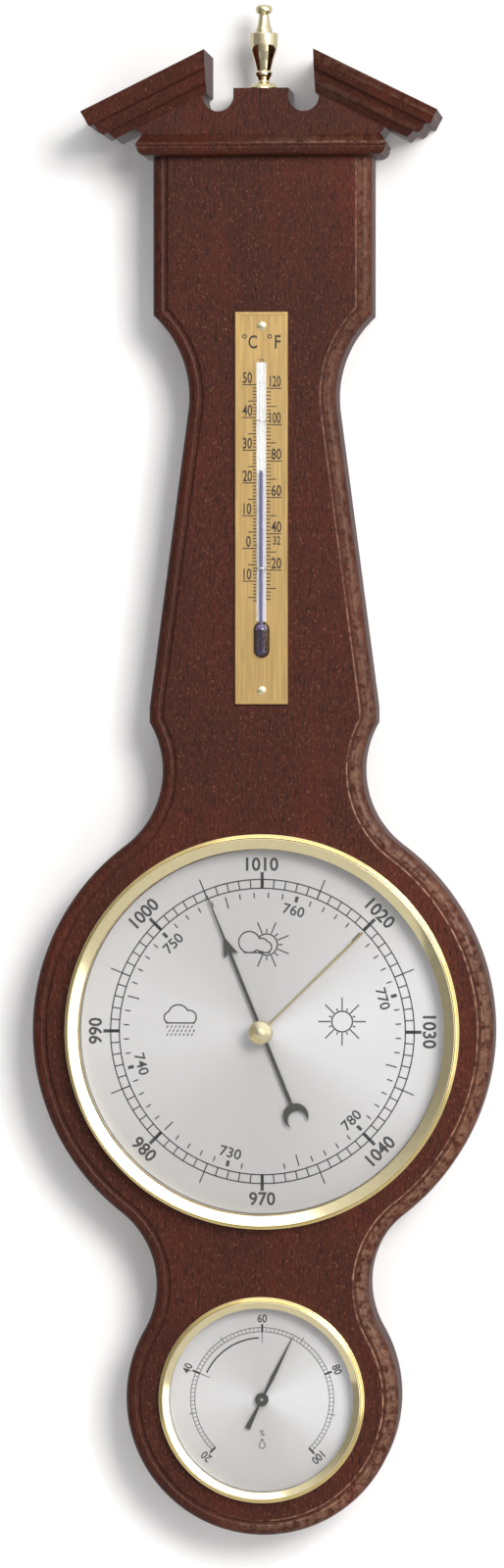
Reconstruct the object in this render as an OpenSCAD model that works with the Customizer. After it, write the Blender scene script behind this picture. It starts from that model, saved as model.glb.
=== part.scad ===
// Wall-hung weather station: thermometer, aneroid barometer and hygrometer on one moulded board.
// Millimetres. Z is up the wall, the wall is the plane Y = 0 and the front faces -Y.
// The origin is the centre of the keyhole in the hanger plate, in the plane of the wall.

/* [Board outline] */
// Thickness of the board
board_t = 22; // [20:1:30]
// Radius of the lobe round the barometer
lobe_r = 76; // [73:1:90]
// Radius of the lobe round the hygrometer
foot_r = 45; // [42:1:54]
// Distance between the barometer and the hygrometer
lobe_pitch = 121; // [115:1:135]
// Radius of the hollow between the two lobes
low_neck_r = 30; // [24:1:36]
// Radius of the hollow above the barometer
high_neck_r = 31; // [26:1:35]
// Half width of the board in the hollow above the barometer
high_neck_half = 33; // [31:0.5:38]
// Half width of the board at its shoulders
shoulder_half = 37.3; // [35:0.1:42]
// Height of the upright stretch at each shoulder
shoulder_land = 5; // [3:0.5:9]
// Half width of the board at the waist
waist_half = 24.2; // [21:0.1:28]
// Radius of the waist hollow
waist_r = 36; // [30:1:42]
// Height of the waist above the barometer
waist_rise = 208.5; // [195:0.5:225]
// Half width of the top of the board
crest_half = 36; // [32:0.5:42]
// Height of the board's top end above the barometer
board_rise = 287; // [272:1:310]

/* [Board edge] */
// Height of the upright side of the board, under the moulded edge
edge_side_h = 18; // [14:0.5:19]
// Width of the rounded part of the edge
edge_round_w = 3.1; // [2:0.1:4]
// Width of the flat fillet inside the rounded part
edge_fillet_w = 1.8; // [1:0.1:3]
// Step from the fillet up to the flat front
edge_step_h = 0.8; // [0.3:0.1:1.2]

/* [Pediment] */
// Height of the cornice shelf
shelf_h = 7; // [5:0.5:10]
// Depth of the pediment board
pediment_t = 26; // [23:1:32]
// How far the shelf's nose stands out from the pediment board
shelf_nose = 2; // [1:0.25:4]
// Half width of the pediment board at its foot
pediment_half = 39; // [36.5:0.5:44]
// Height of the plinth above the shelf
plinth_h = 15; // [12:0.5:20]
// Half width of the plinth
plinth_half = 9; // [8:0.5:11]
// Width of each notch beside the plinth
notch_w = 10; // [8:0.5:12]
// Depth of wood left under each notch
notch_floor = 7.4; // [5:0.1:9]
// Slope of the two rakes
rake_angle = 26.3; // [20:0.1:32]
// Half width of the gap between the rakes
rake_gap_half = 17.8; // [16:0.1:20]
// Half width of the rakes at their outer returns, without the crown
rake_end_half = 47.8; // [44:0.1:56]
// Height of the rake's crown, square to its slope
crown_h = 12.1; // [10:0.1:14]
// How far the rake's crown stands out
crown_out = 10.4; // [8:0.1:12]
// Height of the rake's lowest edge above the shelf, at the gap
rake_foot = 13.4; // [12:0.1:18]

/* [Finial and hanger] */
// Height of the finial
finial_h = 28.3; // [24:0.1:36]
// Radius of the finial's foot
finial_foot_r = 4.8; // [4:0.1:6]
// Radius of the finial's threaded stud
stud_r = 1.2; // [1:0.1:1.6]
// Radius of the pediment dowels
dowel_r = 3; // [2:0.25:4]
// Half the distance between the pediment dowels
dowel_half = 26; // [22:1:30]
// Height of the keyhole above the barometer
hanger_rise = 262; // [250:1:266]
// Radius of the round part of the keyhole
keyhole_r = 4.5; // [4:0.1:5.5]
// Width of the keyhole's slot
keyhole_slot_w = 4.2; // [3.5:0.1:4.4]
// Length of the keyhole's slot above the round part's centre
keyhole_slot_l = 10; // [8:0.5:11]
// Width, height and thickness of the hanger plate
hanger_w = 22; // [18:1:28]
hanger_h = 40; // [38:1:44]
hanger_t = 1.2; // [1:0.1:1.6]

/* [Thermometer] */
// Width of the scale plate
plate_w = 17.2; // [15:0.1:20]
// Length of the scale plate
plate_l = 128.4; // [120:0.1:136]
// Thickness of the scale plate
plate_t = 0.9; // [0.7:0.1:1.4]
// Height of the scale plate's centre above the barometer
plate_rise = 171.8; // [165:0.1:176]
// Radius of the glass tube
tube_r = 1.6; // [1.3:0.1:2]
// Radius of the tube's bore
tube_bore_r = 0.5; // [0.3:0.05:0.6]
// Radius of the glass bulb
bulb_r = 2.3; // [2.1:0.1:2.8]
// Length of the glass bulb
bulb_l = 11.3; // [9:0.1:14]
// Length of the glass tube with its bulb
tube_l = 98; // [90:0.5:102]
// Length of the spirit thread above the bulb
thread_l = 49.8; // [30:0.1:75]

/* [Barometer] */
// Outer radius of the barometer's bezel
baro_r = 65; // [62.5:0.5:70]
// Width of the bezel's ring
baro_bezel_w = 5.2; // [4.8:0.1:6.5]
// Height of the bezel above the board
baro_bezel_h = 6; // [5.6:0.1:7]
// Height of the dial's face above the wall
dial_face = 20.3; // [19.9:0.1:20.8]
// Thickness of the barometer's glass
baro_glass_t = 2; // [1.5:0.1:2]
// Length of the pressure hand in front of its arbor
pressure_l = 48.2; // [44:0.1:56]
// Length of the set hand
set_l = 47; // [42:0.5:56]
// Rest angle of the pressure hand, clockwise from the top
pressure_rest = -22; // [-40:1:40]
// Rest angle of the set hand, clockwise from the top
set_rest = 45.4; // [0:0.1:90]
// Radius of the set knob
knob_r = 4; // [3.5:0.1:6]

/* [Barometer movement] */
// Teeth on the arbor's pinion
pinion_teeth = 12; // [12:1:12]
// Teeth on the sector's full circle
sector_teeth = 132; // [120:12:132]
// Module of the teeth
tooth_module = 0.25; // [0.25:0.01:0.26]
// Radius of every pivot in the movement
pivot_r = 0.6; // [0.5:0.05:0.7]
// Radius of the aneroid capsule
capsule_r = 15; // [12:0.5:15.5]

/* [Hygrometer] */
// Outer radius of the hygrometer's bezel
hygro_r = 34; // [32.5:0.5:38]
// Width of the bezel's ring
hygro_bezel_w = 3.7; // [3.5:0.1:4.5]
// Height of the bezel above the board
hygro_bezel_h = 4.2; // [4:0.1:5]
// Length of the hygrometer's hand in front of its arbor
hygro_l = 23; // [18:0.5:26]
// Rest angle of the hygrometer's hand, clockwise from the top
hygro_rest = 26.2; // [0:0.1:60]

/* [Fits] */
// Clearance of a turning pivot in its bearing, on the radius
running = 0.03; // [0.02:0.01:0.06]
// Gap between parts that are assembled loosely
loose = 0.3; // [0.2:0.05:0.4]
// Thickness of the sheet metal of both cases
sheet_t = 0.6; // [0.5:0.05:0.7]

/* [Hidden] */
$fn = 64;
past = 1;          // how far a cut runs past the face that it opens
mahogany = "#5b2a20";
gold = "#c9a45a";
polished = "#d8c27a";
silver = "#d9dadb";
steel = "#9aa0a6";
dark = "#2c2724";
glass_tint = [0.85, 0.93, 0.95, 0.35];

// Drawing space of every module: x to the right, y up the board from the barometer's centre and
// z out from the wall. stand_up() turns it upright and puts the keyhole's centre at the origin.
module stand_up() {
    rotate([90, 0, 0]) translate([0, -hanger_rise, 0]) children();
}
module at_hygro() {
    translate([0, -lobe_pitch, 0]) children();
}
module both_sides() {
    children();
    mirror([1, 0, 0]) children();
}
module at(p) {
    translate([p[0], p[1], 0]) children();
}
// The same points on the other side of the middle line, in the opposite order
function other_side(points) = [for (i = [len(points) - 1 : -1 : 0]) [-points[i][0], points[i][1]]];
// Bar of a cross section given as [height up the board, distance from the wall], laid along x
module along_x(length) {
    rotate([90, 0, 90]) linear_extrude(length) children();
}
// Prism of a plan given as [x, distance from the wall], from y = low to y = high
module plan_prism(low, high) {
    translate([0, high, 0]) rotate([90, 0, 0]) linear_extrude(high - low) children();
}
module disc(r, low, high) {
    translate([0, 0, low]) cylinder(r = r, h = high - low);
}
module ring(r_in, r_out, low, high) {
    difference() {
        disc(r_out, low, high);
        disc(r_in, low - past, high + past);
    }
}
module block(x0, x1, y0, y1, z0, z1) {
    translate([x0, y0, z0]) cube([x1 - x0, y1 - y0, z1 - z0]);
}

// Centre of the hollow between the lobes, tangent to both
low_reach = lobe_r + low_neck_r;
low_neck_y = (pow(foot_r + low_neck_r, 2) - pow(low_reach, 2) - pow(lobe_pitch, 2)) / (2 * lobe_pitch);
low_neck_x = sqrt(low_reach * low_reach - low_neck_y * low_neck_y);
// Centre of the hollow above the barometer, tangent to the lobe
high_neck_x = high_neck_half + high_neck_r;
high_neck_y = sqrt(pow(lobe_r + high_neck_r, 2) - high_neck_x * high_neck_x);
// Shoulder, flare and waist
shoulder_low = high_neck_y + sqrt(pow(high_neck_r, 2) - pow(high_neck_x - shoulder_half, 2));
shoulder_top = shoulder_low + shoulder_land;
waist_x = waist_half + waist_r;
flare_dx = waist_x - shoulder_half;
flare_dy = waist_rise - shoulder_top;
flare_run = sqrt(flare_dx * flare_dx + flare_dy * flare_dy - waist_r * waist_r);
flare_dir = atan2(flare_dy, flare_dx) + atan2(waist_r, flare_run);

edge_w = edge_round_w + edge_fillet_w;
fillet_z = board_t - edge_step_h;
edge_steps = 4;
arc_step = 5;      // degrees between the points of an arc

low_turn = atan2(low_neck_y, low_neck_x);
high_turn = atan2(high_neck_y, high_neck_x);
foot_turn = atan2(low_neck_y + lobe_pitch, low_neck_x);
flare_turn = flare_dir + 90;

// Points of an arc. Its last point is left out where the next arc starts there.
function arc(x, y, r, from, to, count, last) =
    [for (i = [0 : count - (last ? 0 : 1)]) let (a = from + (to - from) * i / count)
        [x + r * cos(a), y + r * sin(a)]];
function arc_count(from, to) = ceil(abs(to - from) / arc_step);
// Where a hollow meets the upright side beside it
function corner_turn(x, r, half, inset) = acos((half - inset - x) / (r + inset));
// Right half of the outline, moved in by an inset, from the bottom up. Lobes shrink and hollows grow
// by the inset, so their arcs stay tangent, and the corners meet on their mitres.
function half_outline(inset) = concat(
    arc(0, -lobe_pitch, foot_r - inset, -90, foot_turn, arc_count(-90, foot_turn), false),
    arc(low_neck_x, low_neck_y, low_neck_r + inset, 180 + foot_turn, 180 + low_turn,
        arc_count(180 + foot_turn, 180 + low_turn), false),
    arc(0, 0, lobe_r - inset, low_turn, high_turn, arc_count(low_turn, high_turn), false),
    arc(high_neck_x, high_neck_y, high_neck_r + inset, 180 + high_turn,
        corner_turn(high_neck_x, high_neck_r, shoulder_half, inset), 14, true),
    [[shoulder_half - inset, shoulder_top - inset * tan((flare_dir - 90) / 2)]],
    arc(waist_x, waist_rise, waist_r + inset, flare_turn,
        corner_turn(waist_x, waist_r, crest_half, inset), 10, true),
    [[crest_half - inset, board_rise]]
);
function outline(inset) = let (half = half_outline(inset), n = len(half))
    concat(half, [for (i = [n - 1 : -1 : 1]) [-half[i][0], half[i][1]]]);
// The moulded edge is laid up in thin steps: [distance in from the side, top of the step]. Each step
// starts inside the one below it.
edge_section = concat([[0, edge_side_h]],
    [for (i = [1 : edge_steps]) let (a = 90 * (i - 0.5) / edge_steps, top = 90 * i / edge_steps)
        [edge_round_w * (1 - cos(a)), edge_side_h + (fillet_z - edge_side_h) * sin(top)]],
    [[edge_w, board_t]]);
module board_blank() {
    for (k = [0 : len(edge_section) - 1]) {
        low = k == 0 ? 0 : edge_side_h - k;
        translate([0, 0, low]) linear_extrude(edge_section[k][1] - low) polygon(outline(edge_section[k][0]));
    }
}

// Heights through the cases, from the wall
flange_z = board_t + sheet_t;
baro_glass_z = board_t + baro_bezel_h - 1.4 - baro_glass_t;
baro_hole_r = baro_r - 4;
baro_pan_r = baro_hole_r - 0.4;
hygro_hole_r = hygro_r - 2.5;
hygro_pan_r = hygro_hole_r - 0.4;
hanger_pocket = 8;           // depth and radius of the pocket behind the keyhole
hanger_pocket_r = keyhole_r + 1;
screw_pitch = hanger_h / 2 - 5.5;
dowel_z = board_t / 2 + 1;
shelf_y = board_rise + shelf_h;
plate_low = plate_rise - plate_l / 2;
bulb_y = plate_low + 17.7;
tube_z = board_t + plate_t + 0.2 + tube_r;

module back_board() {
    color(mahogany) stand_up() difference() {
        board_blank();
        disc(baro_hole_r, -past, board_t + past, $fn = 128);
        at_hygro() disc(hygro_hole_r, -past, board_t + past, $fn = 128);
        hanger_recess();
        dowel_holes();
        for (y = thermo_screw_y) at([0, y])
            disc(thermo_shank_r, board_t - thermo_shank_l, board_t + past);
        bulb_pocket(board_t - 1.2, board_t + past);
    }
}
dowel_low = 12;    // how deep the dowels sit in the board
dowel_high = 7;    // and in the pediment board
module pediment_dowels() {
    color("#c8a878") stand_up() for (x = [-dowel_half, dowel_half])
        translate([x, shelf_y + dowel_high, dowel_z]) rotate([90, 0, 0])
            cylinder(r = dowel_r, h = dowel_low + dowel_high + shelf_h);
}
module dowel_holes() {
    for (x = [-dowel_half, dowel_half])
        translate([x, shelf_y + dowel_high, dowel_z]) rotate([90, 0, 0])
            cylinder(r = dowel_r, h = dowel_low + dowel_high + shelf_h);
}

// Shelf: its side section crossed with its front section gives mitred corners
function nose(core) = [[0, 0], [core - 1.4, 0], [core + shelf_nose, shelf_h * 0.42],
    [core + shelf_nose, shelf_h * 0.6], [core, shelf_h], [0, shelf_h]];
module cornice_shelf() {
    color(mahogany) stand_up() difference() {
        translate([0, board_rise, 0]) intersection() {
            linear_extrude(pediment_t + shelf_nose)
                polygon(concat(nose(pediment_half), other_side(nose(pediment_half))));
            translate([-pediment_half - 2 * shelf_nose, 0, 0]) along_x(2 * pediment_half + 4 * shelf_nose)
                polygon([for (p = nose(pediment_t)) [p[1], p[0]]]);
        }
        dowel_holes();
    }
}

// The rakes' underside: height above the barometer at a half width x
function rake_low(x) = shelf_y + rake_foot - (x - rake_gap_half) * tan(rake_angle);
notch_out = plinth_half + notch_w;
pediment_side = 1.9;   // flare of the pediment board's sides, out to the rakes' underside
module pediment_board() {
    side_x = pediment_half + pediment_side;
    notch_y = shelf_y + notch_floor + notch_w / 2;
    half = [[0, shelf_y], [pediment_half, shelf_y], [side_x, rake_low(side_x)],
        [notch_out, rake_low(notch_out)], [notch_out, notch_y], [plinth_half, notch_y],
        [plinth_half, shelf_y + plinth_h], [0, shelf_y + plinth_h]];
    color(mahogany) stand_up() difference() {
        both_sides() linear_extrude(pediment_t) polygon(half);
        both_sides() at([notch_out - notch_w / 2, notch_y])
            disc(notch_w / 2, -past, pediment_t + past);
        dowel_holes();
        finial_stud_shape(0);
    }
}

// Crown: [height square to the slope, distance out from the pediment board]. Between its bevelled
// fascia and its bed it swings through an ogee.
ogee_steps = 6;
function crown() = concat([[0, 0], [2.6, 2.1], [2.7, 3.7], [4.2, 5.2]],
    [for (i = [1 : ogee_steps]) let (t = i / ogee_steps)
        [4.2 + (crown_h - 3 - 4.2) * (t + 0.16 * sin(360 * t)), 5.2 + (crown_out - 1.4 - 5.2) * t]],
    [[crown_h - 2.2, crown_out - 1], [crown_h, crown_out], [crown_h, 0]]);
module rake_plan(inner, outer) {
    plan_prism(shelf_y - 30, shelf_y + 60) polygon([[inner, -past], [outer, -past], [outer, pediment_t],
        [outer + 2 * crown_out, pediment_t + 2 * crown_out], [inner, pediment_t + 2 * crown_out]]);
}
module rake() {
    section = concat([[0, 0], [0, pediment_t]], [for (p = crown()) [p[0], pediment_t + p[1]]],
        [[crown_h, 0]]);
    intersection() {
        translate([rake_gap_half, rake_low(rake_gap_half), 0]) rotate([0, 0, -rake_angle])
            translate([-10, 0, 0]) along_x(rake_end_half + 20) polygon(section);
        rake_plan(rake_gap_half, rake_end_half);
    }
}
// The return's section is the crown sheared to meet the sloping crown along the mitre
module rake_return() {
    sheared = [for (p = crown()) [rake_end_half + p[1],
        rake_low(rake_end_half) + p[0] / cos(rake_angle) - p[1] * tan(rake_angle)]];
    difference() {
        linear_extrude(pediment_t + crown_out) polygon(sheared);
        rake_plan(0, rake_end_half);
    }
}
module rake_right() {
    color(mahogany) stand_up() rake();
}
module rake_left() {
    color(mahogany) stand_up() mirror([1, 0, 0]) rake();
}
module rake_return_right() {
    color(mahogany) stand_up() rake_return();
}
module rake_return_left() {
    color(mahogany) stand_up() mirror([1, 0, 0]) rake_return();
}

finial_z = pediment_t / 2;
stud_low = 10;     // stud in the plinth
stud_high = 5;     // and in the finial
module finial_stud_shape(lift) {
    translate([0, shelf_y + plinth_h + stud_high - lift, finial_z]) rotate([90, 0, 0])
        cylinder(r = stud_r, h = stud_low + stud_high - lift);
}
module finial_stud() {
    color(steel) stand_up() finial_stud_shape(0);
}
// Turned profile: [share of the foot's radius, share of the height]
function finial_profile() = [
    [0, 0], [1, 0], [1, 0.03], [0.82, 0.075], [0.5, 0.095], [0.4, 0.115], [0.4, 0.135],
    [0.56, 0.175], [0.58, 0.2], [0.54, 0.225], [0.46, 0.23], [0.5, 0.25],
    [0.66, 0.36], [0.84, 0.45], [0.94, 0.53], [0.96, 0.66], [0.9, 0.668], [0.58, 0.672], [0.57, 0.7],
    [0.46, 0.75], [0.38, 0.82], [0.33, 0.885], [0.5, 0.9], [0.57, 0.93], [0.56, 0.965], [0.42, 0.99], [0, 1]];
module finial() {
    color(polished) stand_up() difference() {
        translate([0, shelf_y + plinth_h, finial_z]) rotate([-90, 0, 0]) rotate_extrude()
            polygon([for (p = finial_profile()) [p[0] * finial_foot_r, p[1] * finial_h]]);
        finial_stud_shape(0);
    }
}

// Hanger plate: let into the back, over a pocket for the head of the wall screw
module hanger_recess() {
    translate([0, hanger_rise, 0]) {
        block(-hanger_w / 2, hanger_w / 2, -hanger_h / 2, hanger_h / 2, -past, hanger_t);
        for (y = [0, keyhole_slot_l]) at([0, y]) disc(hanger_pocket_r, 0, hanger_pocket);
        block(-hanger_pocket_r, hanger_pocket_r, 0, keyhole_slot_l, 0, hanger_pocket);
        for (y = [-screw_pitch, screw_pitch]) at([0, y]) disc(hanger_shank_r, 0, hanger_shank_l);
    }
}
hanger_shank_r = 1.4;
hanger_head_r = 2.8;
hanger_shank_l = 12;
module hanger_plate() {
    color(gold) stand_up() translate([0, hanger_rise, 0]) difference() {
        block(-hanger_w / 2, hanger_w / 2, -hanger_h / 2, hanger_h / 2, 0, hanger_t);
        disc(keyhole_r, -past, hanger_t + past);
        block(-keyhole_slot_w / 2, keyhole_slot_w / 2, 0, keyhole_slot_l, -past, hanger_t + past);
        translate([0, keyhole_slot_l, 0]) disc(keyhole_slot_w / 2, -past, hanger_t + past);
        for (y = [-screw_pitch, screw_pitch]) at([0, y])
            cylinder(r1 = hanger_head_r, r2 = hanger_shank_r, h = hanger_t);
    }
}
module hanger_screws() {
    color(gold) stand_up() for (y = [-screw_pitch, screw_pitch])
        translate([0, hanger_rise + y, 0]) difference() {
            union() {
                cylinder(r1 = hanger_head_r, r2 = hanger_shank_r, h = hanger_t);
                disc(hanger_shank_r, hanger_t, hanger_shank_l);
            }
            block(-hanger_head_r, hanger_head_r, -0.35, 0.35, -past, 0.6);
        }
}

// Thermometer
thermo_inset = 4.5;        // from each end of the plate to its screw
thermo_screw_y = [plate_low + thermo_inset, plate_low + plate_l - thermo_inset];
thermo_shank_r = 0.8;
thermo_shank_l = 8;
thermo_head_r = 1.5;
rim_w = 1;
rim_h = 0.3;
glass_wall = 0.4;
clip_wire_r = 0.25;
clip_y = [plate_low + 44.5, plate_low + 92.8];
backing_t = 0.2;
clip_reach = tube_r + clip_wire_r;

// Outline of a stem with a bulb at its foot: [radius, height above the bulb's end]
function stem(rb, bulb, rt, top, lift) = concat(
    [for (a = [0 : 15 : 90]) [rb * sin(a), lift + rb * (1 - cos(a))]],
    [for (a = [0 : 15 : 75]) if (rb * cos(a) > rt + 0.1) [rb * cos(a), lift + bulb - rb + rb * sin(a)]],
    [[rt, lift + bulb - rb + sqrt(rb * rb - rt * rt)]],
    [for (a = [0 : 15 : 90]) [rt * cos(a), top - rt + rt * sin(a)]]);
module stem_solid(rb, bulb, rt, top, lift) {
    translate([0, bulb_y - bulb_r, tube_z]) rotate([-90, 0, 0]) rotate_extrude($fn = 48)
        polygon(stem(rb, bulb, rt, top, lift));
}
module bulb_pocket(low, high) {
    reach = bulb_r + loose;
    block(-reach, reach, bulb_y, bulb_y + bulb_l - 2 * bulb_r, low, high);
    for (y = [0, bulb_l - 2 * bulb_r]) at([0, bulb_y + y]) disc(reach, low, high);
}
module thermo_plate() {
    color(gold) stand_up() difference() {
        block(-plate_w / 2, plate_w / 2, plate_low, plate_low + plate_l, board_t, board_t + plate_t + rim_h);
        block(-plate_w / 2 + rim_w, plate_w / 2 - rim_w, plate_low + rim_w, plate_low + plate_l - rim_w,
            board_t + plate_t, board_t + plate_t + past);
        for (y = thermo_screw_y) at([0, y]) disc(thermo_shank_r, board_t - past, board_t + 2 * past);
        for (y = clip_y, x = [-clip_reach, clip_reach]) at([x, y])
            disc(clip_wire_r, board_t - past, board_t + 2 * past);
        bulb_pocket(board_t - past, board_t + 2 * past);
    }
}
// Domed head: [share of its radius, height]
function dome() = [[0, 0], [1, 0], [0.95, 0.3], [0.7, 0.6], [0.35, 0.75], [0, 0.8]];
module thermo_screws() {
    head_z = board_t + plate_t;
    slot_reach = 2 * thermo_head_r;
    color(polished) stand_up() for (y = thermo_screw_y) at([0, y]) difference() {
        union() {
            disc(thermo_shank_r, board_t - thermo_shank_l, head_z);
            translate([0, 0, head_z]) rotate_extrude()
                polygon([for (p = dome()) [p[0] * thermo_head_r, p[1]]]);
        }
        rotate([0, 0, 60]) block(-0.2, 0.2, -slot_reach, slot_reach, head_z + 0.35, head_z + past);
    }
}
module thermo_bore(top) {
    stem_solid(bulb_r - glass_wall, bulb_l - 2 * glass_wall, tube_bore_r, top, glass_wall);
}
module thermo_tube() {
    color(glass_tint) stand_up() difference() {
        stem_solid(bulb_r, bulb_l, tube_r, tube_l, 0);
        thermo_bore(tube_l - 2);
    }
}
module thermo_spirit() {
    color("#3a2f78") stand_up() thermo_bore(bulb_l + thread_l);
}
module thermo_backing() {
    color("white") stand_up() block(-tube_r + 0.1, tube_r - 0.1, bulb_y + bulb_l - bulb_r + loose,
        bulb_y + tube_l - bulb_r - tube_r, board_t + plate_t, board_t + plate_t + backing_t);
}
module tube_clips() {
    color(polished) stand_up() for (y = clip_y) translate([0, y, tube_z]) {
        rotate([90, 0, 0]) rotate_extrude(angle = 180, $fn = 32) translate([clip_reach, 0])
            circle(r = clip_wire_r, $fn = 16);
        for (x = [-clip_reach, clip_reach]) translate([x, 0, board_t - tube_z])
            cylinder(r = clip_wire_r, h = tube_z - board_t, $fn = 16);
    }
}

// Cases of the two instruments
pan_z = 1;                 // gap between the barometer's case and the wall
flange_out = 1.7;          // from the bezel's outer edge in to the case's flange
glass_in = 3.2;            // from the bezel's outer edge in to the glass
baro_flange_r = baro_r - flange_out;
baro_glass_r = baro_r - glass_in - 0.1;
hygro_pan_z = 6;
hygro_flange_r = hygro_r - 1.3;
hygro_glass_r = hygro_r - 2.4;
hygro_glass_t = 1.5;
hygro_glass_z = board_t + hygro_bezel_h - 1.2 - hygro_glass_t;
band_low = 8;
band_high = 14;
dial_t = 0.8;
hygro_dial_t = 0.6;

module case_pan(r, flange_r, low) {
    rotate_extrude($fn = 128) polygon([[0, low], [r, low], [r, board_t], [flange_r, board_t],
        [flange_r, flange_z], [r - sheet_t, flange_z], [r - sheet_t, low + sheet_t], [0, low + sheet_t]]);
}
// Bezel section: a low lip and a groove outside, a ridge, and a band that slopes in to the glass.
// seat is the height of the glass's face.
module bezel(r, w, h, seat, glass_r, flange_r) {
    ridge = r - w * 0.4;
    translate([0, 0, board_t]) rotate_extrude($fn = 128) polygon([
        [r, 0], [r, 1], [r - 0.25, 1.5], [r - 0.7, 1.7], [r - w * 0.2, 1.35], [ridge + 0.15, 1.6],
        [ridge, h * 0.75], [ridge - 0.25, h * 0.92], [ridge - 0.6, h], [ridge - 0.95, h * 0.985],
        [r - w, seat + 0.3], [r - w, seat], [glass_r + 0.1, seat], [glass_r + 0.1, sheet_t + 0.05],
        [flange_r + 0.1, sheet_t + 0.05], [flange_r + 0.1, 0]]);
}
module baro_bezel() {
    color(polished) stand_up() bezel(baro_r, baro_bezel_w, baro_bezel_h,
        baro_glass_z + baro_glass_t - board_t, baro_glass_r, baro_flange_r);
}
module baro_glass() {
    color(glass_tint) stand_up() difference() {
        disc(baro_glass_r, baro_glass_z, baro_glass_z + baro_glass_t, $fn = 128);
        disc(spindle_r + spindle_play, 0, 2 * board_t);
    }
}
module baro_spacer() {
    color(gold) stand_up() ring(baro_pan_r - sheet_t, baro_glass_r, flange_z, baro_glass_z, $fn = 128);
}
module baro_pan() {
    color(steel) stand_up() difference() {
        case_pan(baro_pan_r, baro_flange_r, pan_z);
        at([0, capsule_y]) disc(adjuster_r + 0.7, -past, 2 * pan_z + past);
        for (p = base_screw_at) at(p) disc(base_shank_r, 0, 2 * pan_z + past);
    }
}
module baro_grip_band() {
    color("#1d1d1d") stand_up() ring(baro_pan_r, baro_hole_r, band_low, band_high, $fn = 128);
}
module baro_dial() {
    color(silver) stand_up() ring(3, baro_pan_r - sheet_t - 0.2, dial_face - dial_t, dial_face, $fn = 128);
}
module dial_pillars() {
    color(gold) stand_up() for (a = [90, 210, 330]) rotate([0, 0, a]) at([pillar_ring, 0])
        disc(2, pan_z + sheet_t, dial_face - dial_t);
}

// Hands and the set knob
spindle_r = 1.5;
spindle_play = 0.05;
hand_t = 0.4;
pressure_z = dial_face + 1.2;
set_z = baro_glass_z - 1.1;
hub_r = 2.2;
wing_r = 27.2;             // where the arrowhead's wings end
arrow_r = 33.8;            // tip of the arrowhead
crescent_at = 29.8;        // centre of the crescent on the tail
crescent_r = 4.2;
crescent_cut = 3.2;
crescent_shift = 1.6;
module pressure_hand() {
    blade = [[0.15, pressure_l], [0.4, arrow_r - 2], [0.5, wing_r], [0.55, 0],
        [0.6, -crescent_at + crescent_r - 1]];
    wing = [[0.4, wing_r + 1], [2.5, wing_r - 0.4], [0, arrow_r]];
    color(dark) stand_up() rotate([0, 0, -pressure_rest]) difference() {
        union() {
            translate([0, 0, pressure_z]) linear_extrude(hand_t) {
                polygon(concat(blade, other_side(blade)));
                polygon(concat([wing[0], wing[1], wing[2]], [other_side(wing)[1], other_side(wing)[2]]));
                translate([0, -crescent_at]) difference() {
                    circle(r = crescent_r);
                    translate([0, -crescent_shift]) circle(r = crescent_cut);
                }
            }
            disc(hub_r, pressure_z - 0.2, pressure_z + 1);
        }
        disc(pivot_r, 0, 2 * board_t);
    }
}
module set_hand() {
    color(gold) stand_up() rotate([0, 0, -set_rest]) difference() {
        union() {
            translate([0, 0, set_z]) linear_extrude(hand_t)
                polygon([[-0.5, 0], [-0.25, set_l], [0.25, set_l], [0.5, 0]]);
            disc(hub_r + 0.2, set_z - 0.2, set_z + 0.75);
        }
        disc(spindle_r, 0, 2 * board_t);
    }
}
knob_z = baro_glass_z + baro_glass_t + 0.05;
module set_knob() {
    color(polished) stand_up() {
        disc(spindle_r, set_z - 0.2, knob_z);
        translate([0, 0, knob_z]) rotate_extrude() polygon([[0, 0], [knob_r, 0], [knob_r, 1],
            [knob_r - 0.4, 1.5], [knob_r * 0.35, 3.6], [knob_r * 0.2, 4], [0, 4.1]]);
    }
}
module knob_washer() {
    color(gold) stand_up() ring(spindle_r + spindle_play, spindle_r + 1.4, baro_glass_z - 0.3, baro_glass_z);
}

// Movement. Its heights are measured from the deck, the top of its base plate.
base_t = 1.2;
deck = pan_z + sheet_t + base_t;
capsule_y = -capsule_r - 5;
adjuster_r = 2.5;
base_screw_at = [[-34, 14], [34, 14], [0, 37]];
base_shank_r = 1.2;
base_head_r = 2.2;
capsule_stud_r = 1.5;
spring_w = 9;
spring_t = 0.8;
spring_wall_y = capsule_y - capsule_r - 2;
spring_foot_y = spring_wall_y - 4;
spring_screw_y = spring_foot_y + 2;
base_r = 1 - spring_foot_y;
pillar_ring = base_r + (baro_pan_r - sheet_t - base_r) * 5 / 9;    // between the base plate and the case
spring_z = 8;
lever_z = spring_z + spring_t;
lever_t = 0.6;
sector_r = tooth_module * sector_teeth / 2;
pinion_r = tooth_module * pinion_teeth / 2;
mesh_play = 0.08;
sector_x = sector_r + pinion_r + mesh_play;
low_bridge_z = 5.5;
top_bridge_z = 13;
bridge_t = 1;
shaft_r = 0.9;
rocker_x = [sector_x + 5.5, sector_x + 17.5];   // inner faces of the ears
rocker_y = -2.6;
rocker_z = 3;
ear_t = 0.8;
pillar_at = [[-5, 9], [sector_x + 2.5, 9], [sector_x - 2, -7]];
bridge_pillar_r = 1.5;
bridge_screw_r = 0.7;

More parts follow.
